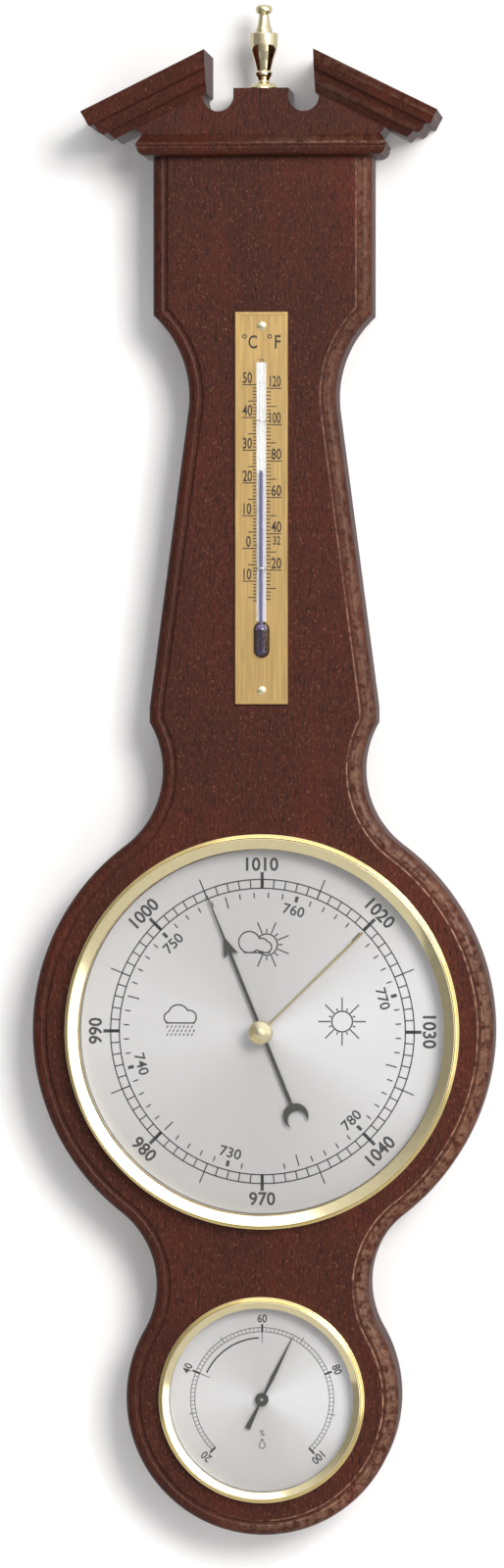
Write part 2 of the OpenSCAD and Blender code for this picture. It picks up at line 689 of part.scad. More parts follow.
module on_deck() {
    stand_up() translate([0, 0, deck]) children();
}
module movement_base() {
    color(steel) on_deck() difference() {
        disc(base_r, -base_t, 0, $fn = 96);
        at([0, capsule_y]) disc(adjuster_r + running, -base_t - past, past);
        for (p = base_screw_at) at(p) disc(base_shank_r, -base_t - past, past);
        at([0, spring_screw_y]) disc(base_shank_r, -base_t - past, past);
    }
}
module slotted_screw(head_r, shank_r, head_h, low) {
    difference() {
        union() {
            disc(head_r, 0, head_h);
            disc(shank_r, low, 0);
        }
        block(-head_r, head_r, -0.25, 0.25, head_h * 0.5, head_h + past);
    }
}
module base_screws() {
    color(gold) on_deck() {
        for (p = base_screw_at) at(p) slotted_screw(base_head_r, base_shank_r, 1.2, -base_t - sheet_t);
        translate([0, spring_screw_y, spring_t]) slotted_screw(1.8, base_shank_r, 1, -base_t - spring_t);
    }
}
// Aneroid capsule: two corrugated skins on a boss, with a stud on top
module capsule() {
    ridges = [for (i = [0 : 8]) [capsule_r - 1 - i * (capsule_r - 4) / 8, i % 2 == 0 ? 0 : 0.5]];
    low_skin = 1.5;
    high_skin = 5.5;
    color(polished) on_deck() at([0, capsule_y]) {
        rotate_extrude() polygon(concat(
            [[0, 0], [3, 0]],
            [for (i = [8 : -1 : 0]) [ridges[i][0], low_skin - ridges[i][1]]],
            [[capsule_r, 3.2], [capsule_r, 3.8]],
            [for (p = ridges) [p[0], high_skin + p[1]]],
            [[0, high_skin + 0.5]]));
        disc(capsule_stud_r, high_skin, lever_z + lever_t + 0.4);
    }
}
module adjusting_screw() {
    color(gold) on_deck() at([0, capsule_y]) difference() {
        disc(adjuster_r, -deck + 0.5, -0.1);
        block(-adjuster_r - past, adjuster_r + past, -0.4, 0.4, -deck, -deck + 1.3);
    }
}
module bow_spring() {
    color(steel) on_deck() difference() {
        union() {
            block(-spring_w / 2, spring_w / 2, spring_foot_y, spring_wall_y + spring_t, 0, spring_t);
            block(-spring_w / 2, spring_w / 2, spring_wall_y, spring_wall_y + spring_t, 0, lever_z);
            block(-spring_w / 2, spring_w / 2, spring_wall_y, capsule_y + 6, spring_z, lever_z);
        }
        at([0, capsule_y]) disc(capsule_stud_r, spring_z - past, lever_z + past);
        at([0, spring_screw_y]) disc(base_shank_r, -past, spring_t + past);
    }
}
// Lever on the spring: it ends in a pin above the rocker's short arm
module main_lever() {
    x = rocker_x[0] + 1.8;
    arm = [[-2.5, capsule_y - 2], [-2.5, capsule_y + 2], [x - 1.5, capsule_y + 5.5], [x - 1.5, -4],
        [x + 1.5, -4], [x + 1.5, capsule_y + 2.5], [2.5, capsule_y - 2]];
    color(gold) on_deck() difference() {
        union() {
            translate([0, 0, lever_z]) linear_extrude(lever_t) polygon(arm);
            at([x, -5.5]) disc(0.7, 5.6, lever_z);
        }
        at([0, capsule_y]) disc(capsule_stud_r, lever_z - past, lever_z + 2 * past);
    }
}
module rocker_bracket() {
    color(steel) on_deck() difference() {
        union() {
            block(rocker_x[0] - ear_t, rocker_x[1] + ear_t, rocker_y - 2, rocker_y + 2, 0, ear_t);
            for (x = [rocker_x[0] - ear_t, rocker_x[1]])
                block(x, x + ear_t, rocker_y - 2, rocker_y + 2, 0, rocker_z + 2);
        }
        translate([rocker_x[0] - ear_t - past, rocker_y, rocker_z]) rotate([0, 90, 0])
            cylinder(r = pivot_r + running, h = rocker_x[1] - rocker_x[0] + 2 * ear_t + 2 * past);
    }
}
module rocking_shaft() {
    play = 0.1;
    long = rocker_x[0] + 4.5;
    color(steel) on_deck() {
        translate([rocker_x[0] - ear_t, rocker_y, rocker_z]) rotate([0, 90, 0])
            cylinder(r = pivot_r, h = rocker_x[1] - rocker_x[0] + 2 * ear_t);
        translate([rocker_x[0] + play, rocker_y, rocker_z]) rotate([0, 90, 0])
            cylinder(r = 1.1, h = rocker_x[1] - rocker_x[0] - 2 * play);
        block(rocker_x[0] + 1.2, rocker_x[0] + 2.4, rocker_y - 4, rocker_y, rocker_z - 0.6, rocker_z + 0.6);
        block(long, long + 1.2, rocker_y - 0.6, rocker_y + 0.6, rocker_z, 10.8);
    }
}
// One tooth as a trapezium between the root and the tip
function tooth(a, r, root, tip, root_half, tip_half) = [
    for (q = [[r - root, -root_half], [r + tip, -tip_half], [r + tip, tip_half], [r - root, root_half]])
        [q[0] * cos(a + q[1]), q[0] * sin(a + q[1])]];
module turning_arbor(top) {
    disc(shaft_r, low_bridge_z + bridge_t + 0.1, top_bridge_z - 0.1);
    disc(pivot_r, low_bridge_z, top);
}
module sector_gear() {
    pitch_a = 360 / sector_teeth;
    window = [[5, -8], [14, -15], [14, 11], [5, 6]];   // opening in the web: [radius, angle]
    teeth = [for (k = [-8 : 6]) each tooth(180 + k * pitch_a, sector_r, 0.32, 0.2, 0.75, 0.28)];
    color(gold) on_deck() translate([sector_x, 0, 0]) {
        turning_arbor(top_bridge_z + bridge_t);
        disc(2.5, 9.2, 10.8);
        translate([0, 0, 9.6]) linear_extrude(0.8) {
            difference() {
                polygon(concat([[0, 2.4]], teeth, [[0, -2.4]]));
                polygon([for (q = window) [q[0] * cos(180 + q[1]), q[0] * sin(180 + q[1])]]);
            }
            translate([0, -1.2]) square([11.5, 2.4]);
        }
    }
}
module hand_arbor() {
    teeth = [for (k = [0 : pinion_teeth - 1])
        each tooth((k + 0.5) * 360 / pinion_teeth, pinion_r, 0.35, 0.2, 8, 3)];
    color(steel) on_deck() {
        turning_arbor(pressure_z + 1 - deck);
        disc(1.25, 6.8, 8.4);
        translate([0, 0, 9.2]) linear_extrude(2) polygon(teeth);
    }
}
// Flat spiral strip from radius r0 out to r1 over a number of turns: its inner side and then its outer one
function spiral_point(r0, r1, turns, t) = [cos(360 * turns * t), sin(360 * turns * t)] * (r0 + (r1 - r0) * t);
function spiral(r0, r1, turns, thick, steps) = concat(
    [for (i = [0 : steps]) spiral_point(r0, r1, turns, i / steps)],
    [for (i = [steps : -1 : 0]) spiral_point(r0 + thick, r1 + thick, turns, i / steps)]);
module hairspring() {
    color(steel) on_deck() {
        translate([0, 0, 7.2]) linear_extrude(0.8) polygon(spiral(1.6, 5.2, 4.5, 0.15, 108));
        translate([-5.4, 0, 0]) disc(0.5, low_bridge_z + bridge_t, 8.2);
    }
}
module bridge_shape(low) {
    x1 = sector_x + 5;
    difference() {
        union() {
            block(-8, x1, -4, 12, low, low + bridge_t);
            block(sector_x - 5, x1, -10, -4, low, low + bridge_t);
        }
        for (x = [0, sector_x]) at([x, 0]) disc(pivot_r + running, low - past, low + bridge_t + past);
        for (p = pillar_at) at(p)
            disc(low < top_bridge_z ? bridge_pillar_r : bridge_screw_r, low - past, low + bridge_t + past);
    }
}
module lower_bridge() {
    color(gold) on_deck() bridge_shape(low_bridge_z);
}
module top_bridge() {
    color(gold) on_deck() bridge_shape(top_bridge_z);
}
bridge_screw_low = -3;
module bridge_pillars() {
    color(gold) on_deck() for (p = pillar_at) at(p) difference() {
        disc(bridge_pillar_r, 0, top_bridge_z);
        disc(bridge_screw_r, top_bridge_z + bridge_screw_low, top_bridge_z + past);
    }
}
module bridge_screws() {
    color(steel) on_deck() for (p = pillar_at) translate([p[0], p[1], top_bridge_z + bridge_t])
        slotted_screw(1.4, bridge_screw_r, 0.8, bridge_screw_low - bridge_t);
}

// Hygrometer
hygro_floor = hygro_pan_z + sheet_t;
strap_half = 14;
strap_t = 0.8;
strap_top = 15;
hygro_pivot_r = 0.5;
hygro_hand_z = dial_face + 1;
hygro_screw_x = 6.5;
hygro_screw_r = 0.9;
strap_w = 8;
vent_ring = hygro_pan_r - 9.1;    // radius on which the case's vents lie
feet_ring = hygro_pan_r - 4.6;    // and the feet of its dial
vent_r = 2.5;
module hygro_bezel() {
    color(polished) stand_up() at_hygro() bezel(hygro_r, hygro_bezel_w, hygro_bezel_h,
        hygro_glass_z + hygro_glass_t - board_t, hygro_glass_r, hygro_flange_r);
}
module hygro_glass() {
    color(glass_tint) stand_up() at_hygro()
        disc(hygro_glass_r, hygro_glass_z, hygro_glass_z + hygro_glass_t, $fn = 96);
}
module hygro_spacer() {
    color(gold) stand_up() at_hygro()
        ring(hygro_pan_r - sheet_t, hygro_glass_r, flange_z, hygro_glass_z, $fn = 96);
}
module hygro_pan() {
    color(steel) stand_up() at_hygro() difference() {
        case_pan(hygro_pan_r, hygro_flange_r, hygro_pan_z);
        for (a = [30 : 60 : 330]) rotate([0, 0, a]) at([vent_ring, 0])
            disc(vent_r, hygro_pan_z - past, hygro_floor + past);
        for (x = [-hygro_screw_x, hygro_screw_x]) at([x, 0])
            disc(hygro_screw_r, hygro_pan_z - past, hygro_floor + past);
    }
}
module hygro_grip_band() {
    color("#1d1d1d") stand_up() at_hygro() ring(hygro_pan_r, hygro_hole_r, band_low, band_high, $fn = 96);
}
module hygro_dial() {
    color(silver) stand_up() at_hygro()
        ring(1.6, hygro_pan_r - sheet_t - 0.1, dial_face - hygro_dial_t, dial_face, $fn = 96);
}
module hygro_dial_feet() {
    color(gold) stand_up() at_hygro() for (a = [90, 210, 330]) rotate([0, 0, a]) at([feet_ring, 0])
        disc(1.2, hygro_floor, dial_face - hygro_dial_t);
}
module hygro_hand() {
    tail = 10.8;
    blade = [[0.12, hygro_l], [0.65, 8], [0.3, 1], [0.35, -2], [0.9, -tail]];
    color(dark) stand_up() at_hygro() rotate([0, 0, -hygro_rest]) difference() {
        union() {
            translate([0, 0, hygro_hand_z]) linear_extrude(0.3) polygon(concat(blade, other_side(blade)));
            disc(2.2, hygro_hand_z - 0.2, hygro_hand_z + 0.7);
        }
        disc(hygro_pivot_r, 0, 2 * board_t);
    }
}
module hygro_arbor() {
    color(steel) stand_up() at_hygro() {
        disc(0.9, hygro_floor + strap_t + 0.1, strap_top - 0.1);
        disc(1.3, hygro_floor + 2.4, hygro_floor + 6);
        disc(hygro_pivot_r, hygro_floor + 0.1, hygro_hand_z + 0.6);
    }
}
module hygro_coil() {
    color("#b8743c") stand_up() at_hygro() {
        translate([0, 0, hygro_floor + 2.6]) linear_extrude(3.2) polygon(spiral(1.6, 10.2, 6.5, 0.25, 156));
        at([-10.6, 0]) disc(0.6, hygro_floor + strap_t, hygro_floor + 6);
    }
}
module hygro_bridge() {
    color(steel) stand_up() at_hygro() difference() {
        block(-strap_half, strap_half, -strap_w / 2, strap_w / 2, hygro_floor, strap_top + strap_t);
        block(-strap_half + strap_t, strap_half - strap_t, -strap_w, strap_w,
            hygro_floor + strap_t, strap_top);
        disc(hygro_pivot_r + running, hygro_floor - past, strap_top + strap_t + past);
        for (x = [-hygro_screw_x, hygro_screw_x]) at([x, 0])
            disc(hygro_screw_r, hygro_floor - past, hygro_floor + 2);
    }
}
module hygro_bridge_screws() {
    color(gold) stand_up() at_hygro() for (x = [-hygro_screw_x, hygro_screw_x])
        translate([x, 0, hygro_floor + strap_t]) slotted_screw(1.6, hygro_screw_r, 0.8, -strap_t - sheet_t);
}

back_board();
cornice_shelf();
pediment_board();
rake_left();
rake_right();
rake_return_left();
rake_return_right();
pediment_dowels();
finial();
finial_stud();
hanger_plate();
hanger_screws();
thermo_plate();
thermo_screws();
thermo_tube();
thermo_backing();
thermo_spirit();
tube_clips();
baro_bezel();
baro_glass();
baro_spacer();
baro_pan();
baro_grip_band();
baro_dial();
dial_pillars();
pressure_hand();
hand_arbor();
set_hand();
set_knob();
knob_washer();
movement_base();
base_screws();
capsule();
adjusting_screw();
bow_spring();
main_lever();
rocker_bracket();
rocking_shaft();
sector_gear();
hairspring();
lower_bridge();
top_bridge();
bridge_pillars();
bridge_screws();
hygro_bezel();
hygro_glass();
hygro_spacer();
hygro_pan();
hygro_grip_band();
hygro_dial();
hygro_dial_feet();
hygro_hand();
hygro_arbor();
hygro_coil();
hygro_bridge();
hygro_bridge_screws();
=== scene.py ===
# %% [markdown]
# # A wall-hung weather station
# One mahogany board carries a thermometer, an aneroid barometer and a hygrometer. The construction comes
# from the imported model, which holds every piece at its real size and gives each its place. This lesson
# dresses it: it swaps stepped or faceted pieces for smooth ones, prints the scales, and makes the finishes.
# Everything is in metres: Z is up the wall, the wall is the plane Y = 0 and the dials face -Y.

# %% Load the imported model
import math

import bmesh
import bpy
import numpy as np
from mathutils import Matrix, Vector
from mathutils.geometry import tessellate_polygon


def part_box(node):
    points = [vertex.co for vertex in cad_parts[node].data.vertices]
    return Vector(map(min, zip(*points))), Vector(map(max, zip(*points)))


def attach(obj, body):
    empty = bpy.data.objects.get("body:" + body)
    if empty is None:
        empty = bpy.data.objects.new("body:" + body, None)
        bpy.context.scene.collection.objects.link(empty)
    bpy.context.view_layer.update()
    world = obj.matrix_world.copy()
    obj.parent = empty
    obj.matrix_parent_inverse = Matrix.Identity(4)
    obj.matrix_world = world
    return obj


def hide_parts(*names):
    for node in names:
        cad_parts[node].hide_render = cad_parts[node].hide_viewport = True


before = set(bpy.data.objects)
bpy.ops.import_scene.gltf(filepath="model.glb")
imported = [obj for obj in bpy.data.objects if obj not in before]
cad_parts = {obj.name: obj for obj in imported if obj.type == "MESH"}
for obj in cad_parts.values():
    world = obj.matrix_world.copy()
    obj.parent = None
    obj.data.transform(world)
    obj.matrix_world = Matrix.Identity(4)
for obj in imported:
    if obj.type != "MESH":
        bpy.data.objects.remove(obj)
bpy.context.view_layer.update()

# %% [markdown]
# ## One drawing space
# On paper the board is drawn flat: x to the right, y up the board from the barometer's centre, and a height
# above the wall. Millimetres suit it. `place` turns such points upright and into metres in one step. The
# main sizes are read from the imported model, so that a new surface always fits the piece that it stands for.

# %% Drawing space
MM = 0.001


def extent(node):
    """Lowest and highest [x, height above the wall, z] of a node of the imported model, in mm, to the tenth."""
    low, high = (np.array(corner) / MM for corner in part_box(node))
    return np.round((low[0], -high[1], low[2]), 1), np.round((high[0], -low[1], high[2]), 1)


def centre_z(node):
    """Height of a node's middle, in mm from the keyhole."""
    low, high = extent(node)
    return (low[2] + high[2]) / 2


HANG = -centre_z("baro_bezel")    # the keyhole's height above the barometer's centre
PITCH = -centre_z("hygro_bezel") - HANG       # from the barometer's centre down to the hygrometer's
BOARD = extent("back_board")[1][1]            # thickness of the board
DIAL = extent("baro_dial")[1][1]              # height of both dials' faces above the wall
print("keyhole to barometer:", HANG, "mm; barometer to hygrometer:", PITCH, "mm; board:", BOARD, "mm thick")


def place(points):
    """(x, y, height) in mm goes to (x, -height, y - HANG) in metres."""
    p = np.asarray(points, float)
    return np.stack([p[..., 0], -p[..., 2], p[..., 1] - HANG], -1) * MM


def at_height(plan, height):
    """Lifts plan points [x, y] to one height above the wall."""
    plan = np.asarray(plan, float)
    return np.concatenate([plan, np.full(plan.shape[:-1] + (1,), float(height))], -1)


def measured(name, piece):
    """Prints a piece's size, read back from its mesh."""
    co = np.empty(len(piece.data.vertices) * 3)
    piece.data.vertices.foreach_get("co", co)
    size = np.ptp(co.reshape(-1, 3), axis=0) / MM
    print(f"{name}: {size[0]:.1f} x {size[1]:.1f} x {size[2]:.1f} mm, {len(piece.data.polygons)} faces")


# %% [markdown]
# ## Surfaces from grids
# A surface is a grid of points with two parameters, and its faces join each point to its neighbours. Strips
# and fills are gathered in a `Shell`, which becomes one mesh with its doubles merged and its faces turned
# out. Every new piece rides on a body of the model, and says which nodes it stands for.

# %% Gathering points and faces
def new_piece(name, mesh, body, nodes=()):
    """Makes an object of a mesh. It rides on a body and stands for nodes."""
    piece = bpy.data.objects.new(name, mesh)
    bpy.context.collection.objects.link(piece)
    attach(piece, body)
    if nodes:
        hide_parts(*nodes)
    measured(name, piece)
    return piece


class Gathered:
    """Points and faces, collected bit by bit. Each face numbers the points of its own bit."""

    def __init__(self):
        self.points, self.faces, self.count = [], [], 0

    def add(self, points, faces):
        """Adds one bit. Its faces, all of one kind, are renumbered past the points already there."""
        points = np.asarray(points, float)
        self.points.append(points)
        self.faces += (np.asarray(faces) + self.count).tolist()
        self.count += len(points)


# %% Shell builder
SMOOTH_ANGLE = math.radians(28)   # edges that fold less than this are smooth
MERGE, TOO_SHORT = 1e-7, 1e-8     # metres: points this near are one, and edges this short vanish


class Shell(Gathered):
    """Gathers grids, fills and loose polygons in drawing space, then makes one piece of them."""

    def __init__(self):
        super().__init__()
        self.wear = []

    def add(self, points, faces, wear=0.0):
        """Adds points (x, y, height) with their faces, and each point's wear and painted highlight, from 0 to
        1.
        """
        points = np.asarray(points, float).reshape(-1, 3)
        self.wear.append(np.broadcast_to(wear, (len(points),)).astype(float))
        super().add(points, faces)

    def grid(self, points, close_u=False, close_v=False, wear=0.0):
        """Grid of points (u, v, 3): face (i, j) joins (i, j), (i+1, j), (i+1, j+1) and (i, j+1)."""
        points = np.asarray(points, float)
        nu, nv = points.shape[:2]
        i = np.arange(nu if close_u else nu - 1)[:, None]
        j = np.arange(nv if close_v else nv - 1)[None, :]
        i2, j2 = (i + 1) % nu, (j + 1) % nv
        faces = np.stack([i * nv + j, i2 * nv + j, i2 * nv + j2, i * nv + j2], -1).reshape(-1, 4)
        self.add(points, faces, np.asarray(wear, float).reshape(-1) if np.ndim(wear) else wear)

    def fill(self, loops, height):
        """Flat face at one height between an outer loop and the holes in it."""
        loops = [at_height(loop, height) for loop in loops]
        faces = tessellate_polygon([[Vector(p) for p in loop] for loop in loops])
        self.add(np.concatenate(loops), faces)

    def wall(self, loop, low, high):
        """Upright wall on a closed loop, from one height to another."""
        self.grid(np.stack([at_height(loop, low), at_height(loop, high)]), close_v=True)

    def to_side(self, side):
        """Side -1 mirrors everything to the left of the middle, and side 1 leaves it on the right."""
        for block in self.points:
            block[:, 0] *= side

    def piece(self, name, body, *nodes, slot=None):
        """One closed mesh of all that was gathered, with its wear and painted highlight kept as an attribute.
        """
        mesh = bpy.data.meshes.new(name)
        mesh.from_pydata(place(np.concatenate(self.points)).tolist(), [], self.faces)
        mesh.attributes.new("wear", "FLOAT", "POINT").data.foreach_set("value", np.concatenate(self.wear))
        tidy_mesh(mesh)
        return new_piece(name, mesh, body, nodes)


def tidy_mesh(mesh):
    """Merges doubles, turns closed shells out, and smooths every edge under SMOOTH_ANGLE."""
    bm = bmesh.new()
    bm.from_mesh(mesh)
    bmesh.ops.remove_doubles(bm, verts=bm.verts, dist=MERGE)
    bmesh.ops.dissolve_degenerate(bm, edges=bm.edges, dist=TOO_SHORT)
    bmesh.ops.recalc_face_normals(bm, faces=bm.faces)
    bm.to_mesh(mesh)
    bm.free()
    mesh.shade_smooth()
    mesh.set_sharp_from_angle(angle=SMOOTH_ANGLE)


# %% [markdown]
# ## The board's outline
# The outline is arcs and straights: two lobes round the instruments, hollows between them, a shoulder, a
# long flare, a waist and the square top. Moving it inwards by `inset` shrinks the lobes and grows the
# hollows by the same amount, so a moulding can follow it: every arc stays tangent and every corner mitred.

# %% Board outline
board_low, board_high = extent("back_board")
LOBE = board_high[0]                          # radius of the lobe round the barometer
FOOT = -board_low[2] - HANG - PITCH           # radius of the lobe round the hygrometer
BOARD_RISE = board_high[2] + HANG             # the board's top end above the barometer
LOW_NECK, HIGH_NECK, WAIST = 30.0, 31.0, 36.0             # radii of the three hollows, from the lowest up
HIGH_NECK_HALF, SHOULDER_HALF, WAIST_HALF, CREST_HALF = 33.0, 37.3, 24.2, 36.0     # half widths of the board
SHOULDER_LAND = 5.0               # height of the upright stretch at each shoulder
WAIST_RISE = 208.5                # height of the waist above the barometer
ARC_STEP = 1.6                    # degrees between the points of an arc
HOLLOW_POINTS = 60                # points on the arc of each hollow that ends on an upright side


def arc(centre, radius, start, end, last=True):
    """Points at angle a from start to end: centre + radius (cos a, sin a)."""
    count = max(2, math.ceil(abs(end - start) / ARC_STEP))
    a = np.radians(np.linspace(start, end, count + 1))[: None if last else -1]
    return np.stack([centre[0] + radius * np.cos(a), centre[1] + radius * np.sin(a)], -1)


def angle_of(vector):
    """Angle of a vector in degrees, anticlockwise from the right."""
    return math.degrees(math.atan2(vector[1], vector[0]))


low_neck_y = -((LOBE + LOW_NECK) ** 2 - (FOOT + LOW_NECK) ** 2 + PITCH ** 2) / (2 * PITCH)
low_neck = (math.sqrt((LOBE + LOW_NECK) ** 2 - low_neck_y ** 2), low_neck_y)
high_neck_x = HIGH_NECK_HALF + HIGH_NECK
high_neck = (high_neck_x, math.sqrt((LOBE + HIGH_NECK) ** 2 - high_neck_x ** 2))
shoulder_top = high_neck[1] + math.sqrt(HIGH_NECK ** 2 - (high_neck_x - SHOULDER_HALF) ** 2) + SHOULDER_LAND
waist = (WAIST_HALF + WAIST, WAIST_RISE)
flare = np.array(waist) - (SHOULDER_HALF, shoulder_top)
flare_run = math.sqrt(flare @ flare - WAIST ** 2)
flare_dir = angle_of(flare) + math.degrees(math.atan2(WAIST, flare_run))


def outline(inset):
    """Closed loop of the board's outline moved in by inset, from its foot up the right side and round."""
    foot_turn = angle_of((low_neck[0], low_neck[1] + PITCH))
    low_turn, high_turn = angle_of(low_neck), angle_of(high_neck)

    def meets(x, radius, half):
        """Angle at which a hollow reaches the upright side beside it."""
        return math.degrees(math.acos((half - inset - x) / (radius + inset)))

    def hollow(centre, radius, start, half):
        """A hollow's arc always has as many points, whatever the inset, so that the rings match."""
        a = np.radians(np.linspace(start, meets(centre[0], radius, half), HOLLOW_POINTS))
        grown = radius + inset
        return np.stack([centre[0] + grown * np.cos(a), centre[1] + grown * np.sin(a)], -1)

    half = np.concatenate([
        arc((0, -PITCH), FOOT - inset, -90, foot_turn, last=False),
        arc(low_neck, LOW_NECK + inset, 180 + foot_turn, 180 + low_turn, last=False),
        arc((0, 0), LOBE - inset, low_turn, high_turn, last=False),
        hollow(high_neck, HIGH_NECK, 180 + high_turn, SHOULDER_HALF),
        [[SHOULDER_HALF - inset, shoulder_top - inset * math.tan(math.radians((flare_dir - 90) / 2))]],
        hollow(waist, WAIST, flare_dir + 90, CREST_HALF),
        [[CREST_HALF - inset, BOARD_RISE]],
    ])
    other = half[:0:-1] * (-1, 1)
    return np.concatenate([half, other])


print("outline:", len(outline(0)), "points; waist hollow centred at", np.round(waist, 1))

# %% [markdown]
# ## The moulded edge
# A router has run one cutter round the board: an upright side, a quarter round, a narrow fillet and a small
# step up to the face. The section below is carried round the outline. Its arrises have a tiny round, and an
# attribute for wear and painted highlight is 1 on them and up to 0.3 on the quarter round, so that the
# lacquer can be thinner there and a painted highlight of the lamp can show on them, mostly on the right.

# %% Edge section
SIDE = 18.0                       # height of the upright side
ROUND_W, FILLET_W = 3.1, 1.8      # widths of the quarter round and of the fillet
FILLET_Z, FILLET_SINK = 21.2, 0.14            # top of the quarter round, and how far the fillet lies below it
BACK_CHAMFER = 0.25               # small bevel against the wall
ARRIS = 0.16                      # half width of a worn arris, which also carries the painted highlight


def edge_section():
    """Rows of [inset, height, wear and painted highlight]: quarter ellipse from (0, SIDE) to (ROUND_W,
    FILLET_Z), fillet, step.
    """
    a = np.radians(np.linspace(0, 90, 15))
    # on the quarter round the values carry a painted highlight where the lamp glints on the right-hand moulding
    quarter = np.stack([ROUND_W * (1 - np.cos(a)), SIDE + (FILLET_Z - SIDE) * np.sin(a), 0.3 * np.sin(a)], -1)
    inner = ROUND_W + FILLET_W
    return np.concatenate([
        [[BACK_CHAMFER, 0, 0], [0, BACK_CHAMFER, 0], [0, SIDE / 2, 0], [0, SIDE - 0.3, 0]],
        quarter,
        [[ROUND_W + 0.15, FILLET_Z - 0.02, 0.2], [ROUND_W + 0.3, FILLET_Z - 0.12, 1],
         [ROUND_W + 0.5, FILLET_Z - FILLET_SINK, 0.3], [inner - 0.3, FILLET_Z - FILLET_SINK, 0],
         [inner - 0.02, FILLET_Z - 0.1, 0.1],
         [inner, BOARD - ARRIS * 1.6, 0.5], [inner + ARRIS, BOARD - ARRIS * 0.4, 1],
         [inner + 2 * ARRIS, BOARD - 0.004, 0.5], [inner + 4 * ARRIS, BOARD, 0]],
    ])


section = edge_section()
print("edge section:", len(section), "points,", section[-1][0], "mm wide")

# %% [markdown]
# The board has two round holes for the instruments' cases, a small slot behind the thermometer's bulb, and
# in its back a seat for the keyhole plate with a pocket for the wall screw's head. A flat face is filled
# between the outline and these loops, and a wall goes down from each loop, so nothing has to be cut away.

# %% Holes and recesses in the board
BARO_HOLE, HYGRO_HOLE = 61.0, 31.5            # radii of the two case holes
hanger_low, hanger_high = extent("hanger_plate")
HANGER_W, HANGER_T, HANGER_H = hanger_high - hanger_low
POCKET_R, POCKET_DEPTH, SLOT_RISE = 5.5, 8.0, 10.0        # room behind the keyhole for a screw's head
BULB_Y, BULB_RUN, BULB_REACH, BULB_DEPTH = 125.3, 6.7, 2.6, 1.2       # slot behind the bulb


def circle(centre, radius, count=192):
    """Whole circle, starting at the right and running anticlockwise."""
    return arc_loop(centre, radius, 0, 360, count)


def arc_loop(centre, radius, start, end, count):
    """Points of an arc without its last one, so that loops and runs of arcs don't repeat a point."""
    a = np.radians(np.linspace(start, end, count, endpoint=False))
    return np.stack([centre[0] + radius * np.cos(a), centre[1] + radius * np.sin(a)], -1)


def capsule_loop(low, high, radius, count=24):
    """Slot with round ends, upright, between two centres on the middle line."""
    return np.concatenate([arc_loop((0, high), radius, 0, 180, count), [[-radius, high]],
                           arc_loop((0, low), radius, 180, 360, count), [[radius, low]]])


def rectangle(half_w, low, high):
    """Four corners, symmetric about the middle line."""
    return np.array([[-half_w, low], [half_w, low], [half_w, high], [-half_w, high]])


# %% Carve the board
board = Shell()
rings = np.stack([at_height(outline(inset), height) for inset, height, _ in section])
board.grid(rings, close_v=True, wear=np.repeat(section[:, 2], rings.shape[1]))
baro_hole, hygro_hole = circle((0, 0), BARO_HOLE), circle((0, -PITCH), HYGRO_HOLE)
bulb_slot = capsule_loop(BULB_Y, BULB_Y + BULB_RUN, BULB_REACH)
plate_seat = rectangle(HANGER_W / 2, HANG - HANGER_H / 2, HANG + HANGER_H / 2)
screw_pocket = capsule_loop(HANG, HANG + SLOT_RISE, POCKET_R)
board.fill([outline(section[-1][0]), baro_hole, hygro_hole, bulb_slot], BOARD)
board.fill([outline(section[0][0]), baro_hole, hygro_hole, plate_seat], 0)
for hole in (baro_hole, hygro_hole):
    board.wall(hole, 0, BOARD)
board.wall(bulb_slot, BOARD - BULB_DEPTH, BOARD)
board.fill([bulb_slot], BOARD - BULB_DEPTH)
board.wall(plate_seat, 0, HANGER_T)
board.fill([plate_seat, screw_pocket], HANGER_T)
board.wall(screw_pocket, HANGER_T, POCKET_DEPTH)
board.fill([screw_pocket], POCKET_DEPTH)
board_piece = board.piece("moulded_board", "board", "back_board", slot="mahogany")

# %% [markdown]
# ## Cornice shelf and broken pediment
# Straight mouldings are prisms cut off at a mitre. Each point of the section runs along its own line, so
# its two ends are found by cutting that line with the mitre planes: no boolean is needed. The shelf has
# three runs (left, front, right) that share mitred corners; each rake has a sloping run and a short return.

# %% Cornice shelf
shelf_low, shelf_high = extent("cornice_shelf")
PEDIMENT = extent("pediment_board")[1][1]     # how far the pediment board's face stands off the wall
SHELF_NOSE = shelf_high[1] - PEDIMENT         # how far the shelf's nose stands out from that face
PEDIMENT_HALF = shelf_high[0] - SHELF_NOSE    # half width of the pediment board at its foot
SHELF_FOOT = shelf_low[2] + HANG              # underside and top of the shelf, above the barometer
SHELF_TOP = shelf_high[2] + HANG
COVE_W, COVE_H, COVE_IN = 3.1, 2.7, 1.4       # width and height of the cove, and how far in it starts
NOSE_R, NOSE_RISE, NOSE_Z = 0.38, 0.55, 3.6   # half width, half height and middle of the round nose


def shelf_section():
    """Rows of [how far out from the pediment board, height on the shelf, wear and painted highlight]: cove,
    nose, bevelled top.
    """
    a = np.radians(np.linspace(0, 90, 9))
    cove = np.stack([COVE_W * np.sin(a) - COVE_IN, COVE_H * (1 - np.cos(a)), 0 * a], -1)
    a = np.radians(np.linspace(-90, 20, 9))
    nose = np.stack([SHELF_NOSE - NOSE_R + NOSE_R * np.cos(a), NOSE_Z + NOSE_RISE * np.sin(a), 0 * a], -1)
    top = np.array([[1.86, 4.25, 1.0], [1.6, 4.45, 0.4], [0.2, 6.7, 0], [0.0, 6.85, 0.4], [-0.15, 7.0, 0.6]])
    return np.concatenate([cove, nose, top])


